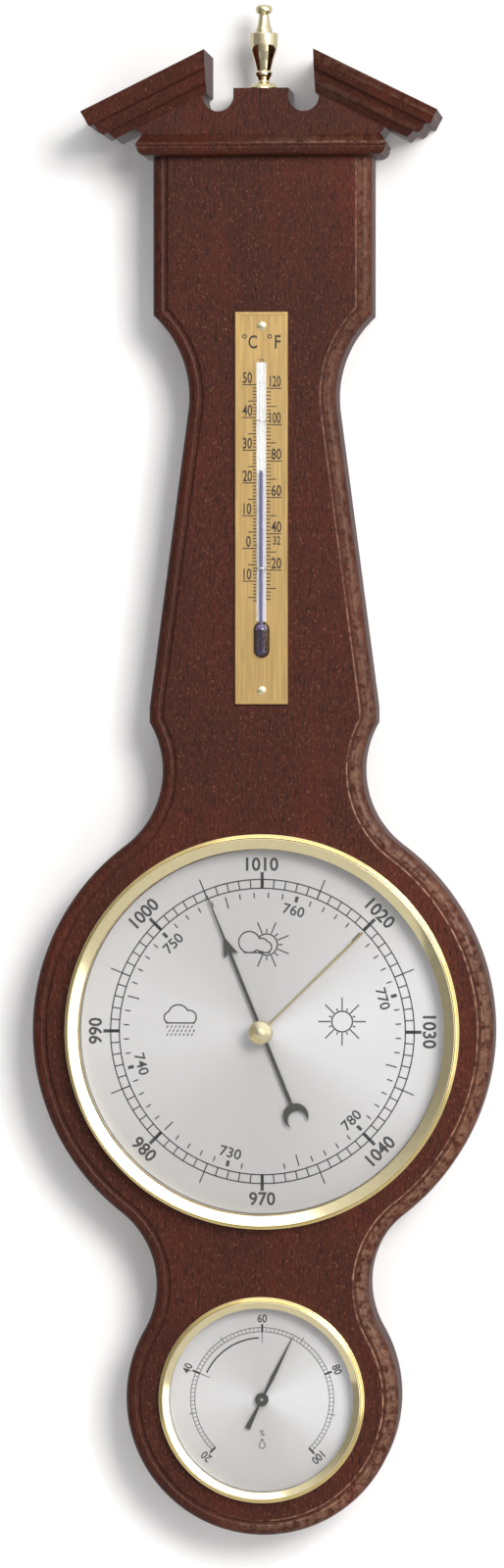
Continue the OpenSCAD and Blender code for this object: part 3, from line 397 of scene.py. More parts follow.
def mitred_band(shell, section, half, depth):
    """Carries a section round three sides of a block: out of each side by the section's own reach."""
    out, up, wear = section.T
    wall, front = 0 * out, depth + out
    corners = [(-half - out, wall), (-half - out, front), (half + out, front), (half + out, wall)]
    for run in zip(corners[:-1], corners[1:]):
        shell.grid([np.stack([x, SHELF_FOOT + up, z], -1) for x, z in run], wear=np.concatenate([wear, wear]))
    return corners


shelf = Shell()
band = shelf_section()
corners = mitred_band(shelf, band, PEDIMENT_HALF, PEDIMENT)
for row, y in ((0, SHELF_FOOT), (-1, SHELF_TOP)):
    shelf.add([(x[row], y, z[row]) for x, z in corners], [(0, 1, 2, 3)])
left = corners[0][0]
back = np.stack([left, SHELF_FOOT + band[:, 1], np.zeros_like(left)], -1)
shelf.add(np.concatenate([back, back[::-1] * (-1, 1, 1)]), [range(2 * len(back))])
shelf_piece = shelf.piece("moulded_shelf", "board", "cornice_shelf", slot="mahogany")

# %% [markdown]
# The crown moulding climbs both rakes. Its section, square to the slope, goes out from the pediment board
# in two bevels, swings through an ogee and ends in a bevelled top fillet. The return is the same section,
# sheared, which is how a joiner makes a sloping crown meet an upright corner.

# %% Crown section
rake_inner, rake_outer = extent("rake_right")
return_inner, _ = extent("rake_return_right")
GAP_HALF, END_HALF = rake_inner[0], return_inner[0]       # half widths at the rakes' inner ends and returns
CROWN_OUT = round(rake_outer[1] - PEDIMENT, 1)            # how far the crown stands out from that board
CROWN_H, RAKE_FOOT = 12.1, 13.4   # the crown's height square to its slope, and its foot above the shelf
RAKE_LEAN = 26.3                  # degrees
SLOPE = math.radians(RAKE_LEAN)
OGEE_SWING = 0.16                 # how far the ogee swings to each side of a straight line
OGEE_LOW, OGEE_IN = 4.2, 5.2      # height and reach at which the ogee starts
OGEE_HIGH, OGEE_OUT = 3.0, 1.4    # how far below the top and inside the full reach it ends


def crown():
    """Rows of [height square to the slope, reach, wear and painted highlight]. The ogee's height is t +
    OGEE_SWING sin(2 pi t).
    """
    t = np.linspace(0, 1, 22)[1:]
    swing = t + OGEE_SWING * np.sin(2 * np.pi * t)
    height, reach = CROWN_H - OGEE_HIGH - OGEE_LOW, CROWN_OUT - OGEE_OUT - OGEE_IN
    ogee = np.stack([OGEE_LOW + height * swing, OGEE_IN + reach * t, 0 * t], -1)
    return np.concatenate([
        [[0, 0, 0], [2.45, 1.95, 0.3], [2.6, 2.1, 1], [2.65, 2.4, 0.3], [2.7, 3.6, 0.2], [2.8, 3.8, 0.9],
         [2.95, 3.95, 0.2], [4.1, 5.1, 0.2]],
        ogee,
        [[CROWN_H - 2.4, CROWN_OUT - 1.15, 0.3], [CROWN_H - 2.2, CROWN_OUT - 1, 1],
         [CROWN_H - 2.0, CROWN_OUT - 0.9, 0.2], [CROWN_H - 0.3, CROWN_OUT - 0.1, 0.3],
         [CROWN_H - 0.12, CROWN_OUT, 1], [CROWN_H, CROWN_OUT - 0.2, 0.3], [CROWN_H, CROWN_OUT - 0.6, 0]],
    ])


print("crown:", len(crown()), "points,", CROWN_H, "mm high, standing out", CROWN_OUT, "mm")

# %% Rakes and returns
def rake_low(x):
    """Height of the rakes' underside at a half width x."""
    return SHELF_TOP + RAKE_FOOT - (x - GAP_HALF) * math.tan(SLOPE)


def on_slope(height, x):
    """Height above the barometer of a line that lies square to the slope by a height, at a half width x."""
    return rake_low(x) + height / math.cos(SLOPE)


def rake(side, name, node):
    """Sloping run: the section in the gap's plane, joined to the same section in the outer mitre's plane."""
    shell = Shell()
    up, out, wear = crown().T
    inner = np.stack([0 * up + GAP_HALF, on_slope(up, GAP_HALF), PEDIMENT + out], -1)
    mitre_x = END_HALF + out
    outer = np.stack([mitre_x, on_slope(up, mitre_x), PEDIMENT + out], -1)
    shell.grid([inner, outer], wear=np.concatenate([wear, wear]))
    low_in, top_in = (GAP_HALF, on_slope(0, GAP_HALF), 0), (GAP_HALF, on_slope(CROWN_H, GAP_HALF), 0)
    low_out, top_out = (END_HALF, on_slope(0, END_HALF), 0), (END_HALF, on_slope(CROWN_H, END_HALF), 0)
    corner = (END_HALF, on_slope(CROWN_H, END_HALF), PEDIMENT)
    shell.add([low_in, *inner, top_in], [range(len(inner) + 2)])
    shell.add([low_in, low_out, outer[0], inner[0]], [range(4)])
    shell.add([top_in, inner[-1], outer[-1], corner, top_out], [range(5)])
    shell.add([low_in, top_in, top_out, low_out], [range(4)])
    shell.add([low_out, top_out, corner, *outer[::-1]], [range(len(outer) + 3)])
    shell.to_side(side)
    return shell.piece(name, "board", node, slot="mahogany")


def rake_return(side, name, node):
    """Short return: the section in the mitre's plane is pulled straight back to the wall."""
    shell = Shell()
    up, out, wear = crown().T
    x = END_HALF + out
    front = np.stack([x, on_slope(up, x), PEDIMENT + out], -1)
    back = front * (1, 1, 0)
    shell.grid([front, back], wear=np.concatenate([wear, wear]))
    top = on_slope(CROWN_H, END_HALF)
    inner_front, inner_back = (END_HALF, top, PEDIMENT), (END_HALF, top, 0)
    shell.add([*back, inner_back], [range(len(back) + 1)])
    shell.add([front[-1], back[-1], inner_back, inner_front], [range(4)])
    shell.add([front[0], back[0], inner_back, inner_front], [range(4)])
    shell.add([*front, inner_front], [range(len(front) + 1)])
    shell.to_side(side)
    return shell.piece(name, "board", node, slot="mahogany")


rake_right = rake(1, "crown_right", "rake_right")
rake_left = rake(-1, "crown_left", "rake_left")
return_right = rake_return(1, "crown_return_right", "rake_return_right")
return_left = rake_return(-1, "crown_return_left", "rake_return_left")

# %% [markdown]
# ## Turned brass
# The finial and both bezels come off a lathe, so each is a profile spun round an axis. The finial's profile
# is a short list of beads and necks, smoothed by a curve that never overshoots its points.

# %% Lathe
def spin(shell, radius, along, centre, axis="out", steps=192):
    """Spins [radius, along]: round the line out of the wall, or round an upright line for the finial."""
    a = np.linspace(0, 2 * np.pi, steps, endpoint=False)[:, None]
    radius, along = np.asarray(radius, float)[None, :], np.asarray(along, float)[None, :]
    x = centre[0] + radius * np.sin(a)
    if axis == "out":
        y, z = centre[1] + radius * np.cos(a), along + 0 * a
    else:
        y, z = centre[1] + along + 0 * a, centre[2] + radius * np.cos(a)
    shell.grid(np.stack([x, y, z], -1), close_u=True)


MOST_CUT = 0.45                   # most of an edge that the round at one of its ends may take


def rounded(profile, radius, steps=5):
    """Rounds each corner of an open profile: a quadratic curve between points set back by radius, or less."""
    p = np.asarray(profile, float)
    out = [p[0]]
    for a, b, c in zip(p[:-2], p[1:-1], p[2:]):
        back, ahead = a - b, c - b
        cut = min(radius, np.linalg.norm(back) * MOST_CUT, np.linalg.norm(ahead) * MOST_CUT)
        start, end = b + back / np.linalg.norm(back) * cut, b + ahead / np.linalg.norm(ahead) * cut
        t = np.linspace(0, 1, steps)[:, None]
        out += list((1 - t) ** 2 * start + 2 * t * (1 - t) * b + t ** 2 * end)
    return np.array(out + [p[-1]])


# %% Finial
finial_low, finial_high = extent("finial")
FINIAL_R, FINIAL_H = finial_high[0], round(finial_high[2] - finial_low[2], 1)
PLINTH_TOP = finial_low[2] + HANG             # height of the plinth that it stands on
FINIAL_ROUND = 0.45                           # radius of the rounds between its beads and necks
FINIAL_SHAPE = [                              # [share of its radius, share of its height]
    [0, 0], [1, 0], [1, 0.03], [0.82, 0.075], [0.5, 0.095], [0.4, 0.115], [0.4, 0.135],              # foot
    [0.56, 0.175], [0.58, 0.2], [0.54, 0.225], [0.46, 0.23], [0.5, 0.25],                            # bead
    [0.66, 0.36], [0.84, 0.45], [0.94, 0.53], [0.96, 0.66], [0.9, 0.668], [0.58, 0.672],             # urn
    [0.57, 0.7], [0.46, 0.75], [0.38, 0.82], [0.33, 0.885],                                          # lid
    [0.5, 0.9], [0.57, 0.93], [0.56, 0.965], [0.42, 0.99], [0, 1]]                                   # knop
turned = rounded(np.array(FINIAL_SHAPE) * (FINIAL_R, FINIAL_H), FINIAL_ROUND)
finial_shell = Shell()
spin(finial_shell, turned[:, 0], turned[:, 1], (0, PLINTH_TOP, PEDIMENT / 2), axis="up", steps=96)
finial_piece = finial_shell.piece("turned_finial", "board", "finial", slot="turned_brass")

# %% [markdown]
# A bezel is spun from thin brass: a low lip on the wood, a groove, then a bright ridge, and inside it a
# cone that slopes down to the glass. Lamps show as long curved lines in it, so its arrises need real
# rounds. It seats on the glass's rim and on the flange of the case, so its inner steps take their sizes
# from those two.

# %% Bezels
LIP_W, LIP_H, LIP_TOP = 1.12, 1.25, 1.72      # the lip's width, its upright side, and its crest
BEZEL_ROUND, BEZEL_STEPS = 0.3, 6             # radius of its rounds, and the points on each
BEZEL_FIT, FLANGE_H = 0.1, 0.65               # gap round the glass and the flange, and the flange's height


def bezel_profile(r, w, h, seat, glass_r, flange_r):
    """Closed section [radius, height over the board] of a bezel of outer radius r, ring width w, height h."""
    ridge = r - LIP_W
    outside = [
        [r, 0], [r, LIP_H], [r - 0.1, 1.6], [r - 0.26, LIP_TOP], [ridge + 0.2, LIP_H], [ridge + 0.04, 1.35],
        [ridge, h * 0.8], [ridge - 0.15, h * 0.96], [ridge - 0.36, h], [ridge - 0.62, h * 0.985],
        [r - w, seat + 0.3], [r - w, seat], [glass_r + BEZEL_FIT, seat]]
    inside = [
        [glass_r + BEZEL_FIT, FLANGE_H], [flange_r + BEZEL_FIT, FLANGE_H], [flange_r + BEZEL_FIT, 0], [r, 0]]
    return np.concatenate([rounded(outside, BEZEL_ROUND, BEZEL_STEPS), inside])


def bezel(name, kind, centre, width):
    """Spins the ring of one instrument, whose glass, case and bezel are nodes with names of one kind."""
    _, (r, top, _) = extent(kind + "_bezel")
    _, (glass_r, seat, _) = extent(kind + "_glass")
    flange_r = extent(kind + "_pan")[1][0]
    profile = bezel_profile(r, width, round(top - BOARD, 1), round(seat - BOARD, 1), glass_r, flange_r)
    shell = Shell()
    spin(shell, profile[:, 0], profile[:, 1] + BOARD, centre, steps=256)
    return shell.piece(name, "board", kind + "_bezel", slot="bezel_brass")


baro_bezel = bezel("barometer_ring", "baro", (0, 0), 4.85)
hygro_bezel = bezel("hygrometer_ring", "hygro", (0, -PITCH), 3.7)

# %% [markdown]
# The set hand is a strip of thin brass with a fold along its middle, so one side of it looks darker. It is
# pressed on a hub, which turns on the knob's spindle.

# %% Set hand
SET_LOW, SET_T = 23.5, 0.4        # height of the strip's edges above the wall, and of its fold above them
SET_TURN = math.radians(45.4)     # rest angle, clockwise from the top
SET_HALF, SET_TIP = 0.45, 46.7    # half width, and length from the spindle
TIP_RUN, TIP_SHARE = 0.3, 0.7     # the tip narrows to this share of the width over this length
HUB_BORE, HUB_R, HUB_LOW, HUB_HIGH, HUB_BEVEL = 1.5, 2.4, -0.2, 0.75, 0.05    # heights are from the edges
along = np.array((math.sin(SET_TURN), math.cos(SET_TURN)))
across = np.array((math.cos(SET_TURN), -math.sin(SET_TURN)))
strip = []
for reach, share in ((HUB_R - 0.5, 1), (HUB_R - 0.2, 1), (SET_TIP - TIP_RUN, 1), (SET_TIP, TIP_SHARE)):
    left, fold, right = (along * reach + across * side * SET_HALF * share for side in (-1, 0, 1))
    strip.append([(*left, SET_LOW), (*fold, SET_LOW + SET_T), (*right, SET_LOW), (*fold, SET_LOW)])
set_shell = Shell()
set_shell.grid(strip, close_v=True)
for end in (strip[0], strip[-1]):
    set_shell.add(end, [(0, 1, 2, 3)])
hub = np.array([[HUB_BORE, HUB_LOW], [HUB_R - HUB_BEVEL, HUB_LOW], [HUB_R, HUB_LOW + HUB_BEVEL],
                [HUB_R, HUB_HIGH - HUB_BEVEL], [HUB_R - HUB_BEVEL, HUB_HIGH], [HUB_BORE, HUB_HIGH],
                [HUB_BORE, HUB_LOW]])
spin(set_shell, hub[:, 0], hub[:, 1] + SET_LOW, (0, 0), steps=48)
set_piece = set_shell.piece("folded_set_hand", "setter", "set_hand", slot="hand_brass")

# %% [markdown]
# ## Printed scales
# The scales are printed in ink that stands a hair above the metal. Every mark is a small polygon: a bar at
# an angle, an arc band or a letter. They are gathered per dial in one sheet, which a Solidify modifier
# gives the thickness of the ink. The numbers are Blender's own font, squeezed on the two smaller scales.

# %% Marks
INK_LIFT, INK = 0.03, 0.02        # height of the ink's face above the metal, and its thickness, in mm
NO_AREA = 1e-12                   # square metres: a letter's sliver smaller than this is left out


class Print(Gathered):
    """Gathers flat marks in the plane of a dial: x right, y up, from the dial's centre, in mm."""

    def bar(self, start, end, width):
        """Straight bar between two points."""
        start, end = np.asarray(start, float), np.asarray(end, float)
        along = (end - start) / np.linalg.norm(end - start)
        side = np.array([-along[1], along[0]]) * width / 2
        self.add([start - side, end - side, end + side, start + side], [(0, 1, 2, 3)])

    def spoke(self, turn, inner, outer, width):
        """Bar along a radius, at an angle clockwise from the top."""
        d = heading(turn)
        self.bar(d * inner, d * outer, width)

    def band(self, radius, width, start=0.0, end=360.0, centre=(0, 0), steps=None):
        """Arc band between two angles clockwise from the top."""
        steps = steps or max(8, math.ceil(abs(end - start) / 2))
        d = heading(np.linspace(start, end, steps + 1))
        ring = np.concatenate([d * (radius - width / 2), d * (radius + width / 2)]) + centre
        n = steps + 1
        self.add(ring, [(i, i + 1, n + i + 1, n + i) for i in range(steps)])

    def text(self, word, height, centre, turn=0.0, narrow=0.78, weight=0.0):
        """A word whose middle is at a point, turned clockwise; height is that of its figures.

        Narrow is the share of its width that it keeps, and weight makes its strokes a little fatter.
        """
        curve = bpy.data.curves.new("lettering", "FONT")
        curve.body, curve.align_x, curve.align_y = word, "CENTER", "CENTER"
        curve.resolution_u, curve.offset = 3, weight
        holder = bpy.data.objects.new("lettering", curve)
        bpy.context.collection.objects.link(holder)
        bpy.context.view_layer.update()
        shaped = holder.evaluated_get(bpy.context.evaluated_depsgraph_get())
        mesh = bpy.data.meshes.new_from_object(shaped)
        co = np.empty(len(mesh.vertices) * 3)
        mesh.vertices.foreach_get("co", co)
        flat = co.reshape(-1, 3)[:, :2]
        flat = flat - (flat.min(0) + flat.max(0)) / 2
        flat = flat * (narrow, 1) * height / np.ptp(flat[:, 1])
        c, s = math.cos(math.radians(turn)), math.sin(math.radians(turn))
        self.add(flat @ np.array([[c, -s], [s, c]]) + centre, [list(p.vertices) for p in mesh.polygons])
        bpy.data.objects.remove(holder)
        bpy.data.curves.remove(curve)
        bpy.data.meshes.remove(mesh)

    def piece(self, name, body, origin, height, slot):
        """All marks as one sheet on a dial whose centre and height are given, thickened towards the dial."""
        plan = np.concatenate(self.points) + origin
        mesh = bpy.data.meshes.new(name)
        mesh.from_pydata(place(at_height(plan, height + INK_LIFT)).tolist(), [], self.faces)
        face_out(mesh)
        piece = new_piece(name, mesh, body)
        ink = piece.modifiers.new("ink", "SOLIDIFY")
        ink.thickness, ink.offset = INK * MM, -1
        return piece


def heading(turn):
    """Unit vector at an angle clockwise from the top: (sin, cos)."""
    a = np.radians(turn)
    return np.stack([np.sin(a), np.cos(a)], -1)


def face_out(mesh):
    """Turns every flat face towards the viewer, -Y."""
    bm = bmesh.new()
    bm.from_mesh(mesh)
    bmesh.ops.delete(bm, geom=[f for f in bm.faces if f.calc_area() < NO_AREA], context="FACES_ONLY")
    bm.normal_update()
    bmesh.ops.reverse_faces(bm, faces=[f for f in bm.faces if f.normal.y > 0])
    bm.to_mesh(mesh)
    bm.free()


# %% [markdown]
# ### The barometer's dial
# Air pressure is read on the outer ladder: one box for each hectopascal, 4.5 degrees wide, with a bar at
# the tens and a fine line at the fives. An inner row of ticks gives millimetres of mercury.

# %% Barometer scale
HPA_TURN = 4.5                    # degrees for one hectopascal
BOXES = round(360 / HPA_TURN)     # boxes in the ladder, which goes all the way round
TOP_HPA = 1010                    # the reading at the top
HPA_TENS = range(970, 1050, 10)   # the readings with a number
LADDER_IN, LADDER_OUT = 47.1, 50.0            # radii of the ladder's two rails
TENS_OUT, FIVES_OUT, HPA_R = 52.4, 54.0, 55.0             # radii of the long marks' ends and of the numbers
THIN, FINE, THICK = 0.44, 0.42, 1.1           # widths of lines
HPA_FIGURE, MMHG_FIGURE = 4.5, 3.5            # heights of the figures on the two scales
FLIP = 100                        # from this many degrees off the top, numbers have their heads to the centre


def upright_turn(turn):
    """Lettering stands with its foot to the centre, or with its head to it in the lower part of the dial."""
    wrapped = (turn + 180) % 360 - 180
    return turn if abs(wrapped) < FLIP else turn + 180


baro = Print()
for radius in (LADDER_IN, LADDER_OUT):
    baro.band(radius, THIN, steps=3 * BOXES)
for k in range(BOXES):
    baro.spoke(k * HPA_TURN, LADDER_IN, LADDER_OUT, FINE)
for hpa in HPA_TENS:
    turn = (hpa - TOP_HPA) * HPA_TURN
    baro.spoke(turn, LADDER_IN - 0.2, TENS_OUT, THICK)
    baro.spoke(turn + 5 * HPA_TURN, LADDER_IN - 0.1, FIVES_OUT, FINE)
    baro.text(str(hpa), HPA_FIGURE, heading(turn) * HPA_R, upright_turn(turn), 0.98, 0.022)
print("ladder:", BOXES, "boxes, numbers from", HPA_TENS[0], "to", HPA_TENS[-1])

# %% [markdown]
# The mercury scale shares the dial, so its angles follow from the other scale: a millimetre of mercury
# turns the hand 1.3332 times as far as a hectopascal. Its marks stop a little before the dial's foot.

# %% Mercury scale
HPA_PER_MMHG = 1.333224
MMHG_TURN = HPA_TURN * HPA_PER_MMHG           # degrees for one millimetre of mercury
MMHG_TOP = TOP_HPA / HPA_PER_MMHG             # millimetres of mercury at the top
MMHG_MARKS = range(727, 787)
MMHG_IN, MMHG_OUT, MMHG_R = 43.9, 45.75, 41.2             # radii of the marks' ends and of the numbers
FIVES_LONGER, TENS_LONGER = 2.0, 0.15         # how much further in the fives go, and further out the tens
MMHG_END = 177                    # degrees from the top within which marks are printed


def mmhg_turn(value):
    """Angle from the top, in degrees, of a height of mercury in millimetres."""
    return (value - MMHG_TOP) * MMHG_TURN


for value in MMHG_MARKS:
    turn = mmhg_turn(value)
    if abs(turn) > MMHG_END:
        continue
    if value % 10 == 0:
        baro.spoke(turn, MMHG_IN, MMHG_OUT + TENS_LONGER, THICK)
        baro.text(str(value), MMHG_FIGURE, heading(turn) * MMHG_R, upright_turn(turn), 1.04, 0.016)
    else:
        baro.spoke(turn, MMHG_IN - (FIVES_LONGER if value % 5 == 0 else 0), MMHG_OUT, THIN)
print("mercury at the top:", round(MMHG_TOP, 1), "mm")

# %% [markdown]
# ### Weather pictures
# Three plain pictures show what the pressure tends to bring: a sun, a cloud before a sun, and a rain cloud.
# They are line drawings, so each is a set of short bars on circles. A bar that would lie inside a cloud is
# left out, which hides what stands behind the cloud and joins its own circles into one outline.

# %% Sun, cloud and rain
LINE, RAY, RAIN = 0.48, 0.432, 0.36           # widths of outlines, rays and raindrops
CIRCLE_BARS, RAYS = 90, 16        # bars in a circle, rays round a sun
RAY_GAP = 0.35                    # gap between a sun's disc and its rays
TEST_GAP, TEST_END = 0.5, 0.3     # a ray is tested this far from the disc and from its outer end
NEAR = 1e-6                       # a point this near a border counts as outside


def clear_of(point, circles, floor=-math.inf):
    """True where a point is above the floor line and outside every circle (x, y, radius)."""
    outside = all(math.hypot(point[0] - x, point[1] - y) > r - NEAR for x, y, r in circles)
    return outside and point[1] >= floor - NEAR


def circle_bars(centre, radius):
    """Ends (a, b) of the short bars that make a circle."""
    step = 360 // CIRCLE_BARS
    for turn in range(0, 360, step):
        yield heading(turn) * radius + centre, heading(turn + step) * radius + centre


def sun(sheet, centre, radius, long_ray, short_ray, veil=(), lean=0.0):
    """Disc outline with long and short rays by turns, hidden where it lies behind the circles of a cloud."""
    for a, b in circle_bars(centre, radius):
        if clear_of((a + b) / 2, veil):
            sheet.bar(a, b, LINE)
    for k in range(RAYS):
        d, reach = heading(k * 360 / RAYS + lean), long_ray if k % 2 == 0 else short_ray
        tested = (centre + d * (radius + TEST_GAP), centre + d * (reach - TEST_END))
        if all(clear_of(point, veil) for point in tested):
            sheet.bar(centre + d * (radius + RAY_GAP), centre + d * reach, RAY)


def cloud(sheet, circles, floor):
    """Outline of the union of circles above a floor line: each arc shows only outside the other circles."""
    ends = []
    for x, y, r in circles:
        others = [c for c in circles if c != (x, y, r)]
        for a, b in circle_bars((x, y), r):
            if clear_of((a + b) / 2, others, floor):
                sheet.bar(a, b, LINE)
                ends += [a, b]
    low = [x for x, y in ends if y < floor + 0.6]
    sheet.bar((min(low), floor), (max(low), floor), LINE)


def rain(sheet, first, rows, per_row, step, shift, slant):
    """Short slanting bars in rows under a cloud, every second row shifted to the right."""
    for row in range(rows):
        for k in range(per_row):
            start = np.array((first[0] + k * step[0] + row % 2 * shift, first[1] - row * step[1]))
            sheet.bar(start, start - slant, RAIN)


# %% Weather pictures
FAIR_SUN, SUN_R = (26.3, 3.4), 3.4
VEILED_SUN, VEILED_R = (1.5, 28.6), 3.5
VEIL = [(-4.2, 29.4, 3.5), (-0.2, 28.5, 2.2), (1.2, 27.8, 1.9)]          # circles (x, y, radius) of a cloud
VEIL_GAP = (-1.5, 27.2, 1.5)                                              # the space between those circles
VEIL_FLOOR = 25.95
RAIN_CLOUD, RAIN_FLOOR = [(-30.4, 4.5, 1.9), (-27.6, 5.3, 3.4), (-24.0, 4.6, 2.3)], 2.7
sun(baro, FAIR_SUN, SUN_R, 7.9, 4.7)
cloud(baro, VEIL, VEIL_FLOOR)
sun(baro, VEILED_SUN, VEILED_R, 7.9, 5.2, [*VEIL, VEIL_GAP], 360 / RAYS)
cloud(baro, RAIN_CLOUD, RAIN_FLOOR)
rain(baro, (-31.0, 1.9), 3, 7, (1.35, 1.3), 0.65, (0.45, 0.85))
baro_print = baro.piece("barometer_scale", "board", (0, 0), DIAL, "hand_black")

# %% [markdown]
# ### The hygrometer's dial
# Relative humidity runs from 20 to 100 per cent in equal steps, so the same ladder serves, drawn finer. An
# arc under the numbers marks the range in which a room is pleasant.

# %% Hygrometer scale
PER_CENT_TURN, TOP_PER_CENT = 3.4, 60         # degrees for one per cent, and the reading at the top
DRY, WET = 20, 100                            # ends of the scale
ROOM_DRY, ROOM_WET = 40, 60                   # ends of the pleasant range
HYGRO_IN, HYGRO_OUT = 22.2, 23.6              # radii of the ladder's two rails
HYGRO_TENS, HYGRO_TWENTIES, HYGRO_NUMBER_R = 24.6, 24.8, 26.6
ROOM_R, ROOM_IN, ROOM_GAP = 20.2, 18.6, 3     # radius of the arc, inner end of its limits, gap in degrees
SIGN_Y, DROP_Y = -11.1, -15.2                 # places of the per cent sign and of the drop under it
hygro = Print()


def hygro_turn(value):
    """Angle from the top, in degrees, of a relative humidity in per cent."""
    return (value - TOP_PER_CENT) * PER_CENT_TURN


for radius in (HYGRO_IN, HYGRO_OUT):
    hygro.band(radius, 0.22, hygro_turn(DRY), hygro_turn(WET), steps=180)
for value in range(DRY, WET + 1):
    hygro.spoke(hygro_turn(value), HYGRO_IN, HYGRO_OUT, 0.18)
for value in range(DRY, WET + 1, 10):
    turn = hygro_turn(value)
    if value % 20 == 0:
        hygro.spoke(turn, HYGRO_IN - 0.1, HYGRO_TWENTIES, 0.7)
        hygro.text(str(value), 2.8, heading(turn) * HYGRO_NUMBER_R, turn, 0.86, 0.02)
    else:
        hygro.spoke(turn, HYGRO_IN - 0.1, HYGRO_TENS, 0.26)
for value in (ROOM_DRY, ROOM_WET):
    hygro.spoke(hygro_turn(value), ROOM_IN, HYGRO_IN, 0.24)
hygro.band(ROOM_R, 0.55, hygro_turn(ROOM_DRY) + ROOM_GAP, hygro_turn(ROOM_WET) - ROOM_GAP)
hygro.text("%", 2.0, (0, SIGN_Y), 0, 0.85, 0.01)
print("hygrometer scale:", hygro_turn(DRY), "to", hygro_turn(WET), "degrees")

# %% [markdown]
# A small drop under the per cent sign stands for moisture. Its outline is a circle whose top is drawn out
# to a point: the radius grows where the angle nears the top.

# %% Moisture drop
DROP_R, DROP_TIP, DROP_SPREAD = 1.15, 0.95, 17.0          # radius, growth at the tip, spread in degrees
DROP_HOLLOW = 0.74                # inner outline as a share of the outer one
turns = np.linspace(-180, 180, 49)[:-1]
reach = DROP_R * (1 + DROP_TIP * np.exp(-(turns / DROP_SPREAD) ** 2))
outer = heading(turns) * reach[:, None] + (0, DROP_Y)
inner = heading(turns) * (reach * DROP_HOLLOW)[:, None] + (0, DROP_Y)
n = len(turns)
hygro.add(np.concatenate([inner, outer]), [(i, (i + 1) % n, n + (i + 1) % n, n + i) for i in range(n)])
hygro_print = hygro.piece("hygrometer_scale", "board", (0, -PITCH), DIAL, "hand_black")

# %% [markdown]
# ### The thermometer's scale
# Ticks stand on both sides of the tube: whole degrees Celsius on the left, every second degree Fahrenheit
# on the right. The two scales are tied by F = 32 + 1.8 C. Each number stands on its own long tick.

# %% Thermometer scale
plate_low, plate_high = extent("thermo_plate")
PLATE_LOW, PLATE_TOP = plate_low[2] + HANG, plate_high[2] + HANG      # ends of the plate above the barometer
PLATE_FACE = 22.9                 # height of the plate's flat face above the wall
ZERO_Y, PER_C = 158.6, 1.072      # height of 0 degrees C above the barometer, and of one degree
CELSIUS, FAHRENHEIT = range(-16, 51), range(4, 122, 2)
TUBE_EDGE, TICK = 1.5, 0.34       # where ticks start beside the tube, and their width
C_TICKS, F_TICKS = (6.3, 4.4, 2.8), (6.6, 4.8, 3.0)       # where long, middle and short ticks end
FIGURE, FIGURE_LIFT = 3.7, 2.3    # height of the figures, and of their middle over the tick
UNIT, UNIT_Y = 4.4, 226.2         # height and place of the letters C and F
RING_R, RING_Y = 0.6, 228.0       # the degree signs
thermo = Print()


def celsius_y(value):
    """Height of a temperature in degrees Celsius above the barometer."""
    return ZERO_Y + value * PER_C


def fahrenheit_y(value):
    """The same for degrees Fahrenheit: C = (F - 32) / 1.8."""
    return celsius_y((value - 32) / 1.8)


def tick_end(ends, value, long_every):
    """Where a tick ends: long at each number, middle half way between, else short."""
    long, middle, short = ends
    if value % long_every == 0:
        return long
    return middle if value % (long_every // 2) == 0 else short


for value in CELSIUS:
    y = celsius_y(value)
    thermo.bar((-TUBE_EDGE, y), (-tick_end(C_TICKS, value, 10), y), TICK)
    if value % 10 == 0:
        middle_x = 4.65 if abs(value) > 9 else 4.3
        thermo.text(str(abs(value)), FIGURE, (-middle_x, y + FIGURE_LIFT), 0, 0.64, 0.018)
for value in FAHRENHEIT:
    y = fahrenheit_y(value)
    thermo.bar((TUBE_EDGE, y), (tick_end(F_TICKS, value, 20), y), TICK)
    if value % 20 == 0:
        middle_x, narrow = (4.5, 0.56) if value >= 100 else (4.85, 0.68)
        thermo.text(str(value), FIGURE, (middle_x, y + FIGURE_LIFT), 0, narrow, 0.018)
thermo.text("32", 2.9, (5.0, fahrenheit_y(32) + 2.6), 0, 0.68, 0.016)
thermo.text("C", UNIT, (-2.9, UNIT_Y), 0, 0.74, 0.014)
thermo.text("F", UNIT, (5.3, UNIT_Y), 0, 0.78, 0.014)
for x in (-5.6, 2.7):
    thermo.band(RING_R, TICK, centre=(x, RING_Y), steps=24)
thermo_print = thermo.piece("thermometer_scale", "board", (0, 0), PLATE_FACE, "hand_black")

# %% [markdown]
# A fine line is pressed into the plate along its edge. It is too shallow to carve, so four thin bars stand
# for it, and a paler brass than the plate's is a painted highlight where light catches the pressed edge.

# %% Pressed border of the scale plate
BORDER_HALF, BORDER_IN, BORDER_W = 7.75, 0.85, 0.26       # half width, distance from the ends, line width
border = Print()
frame_line = rectangle(BORDER_HALF, PLATE_LOW + BORDER_IN, PLATE_TOP - BORDER_IN)
for start, end in ((0, 3), (1, 2), (0, 1), (3, 2)):
    border.bar(frame_line[start], frame_line[end], BORDER_W)
plate_border = border.piece("plate_border", "board", (0, 0), PLATE_FACE, "scale_brass")

# %% [markdown]
# ## Finishes
# Each finish is a small node network on Object coordinates, in metres, so a pattern has a real size. A
# `Finish` helper keeps the networks short: it makes a Principled shader and wires textures into it.

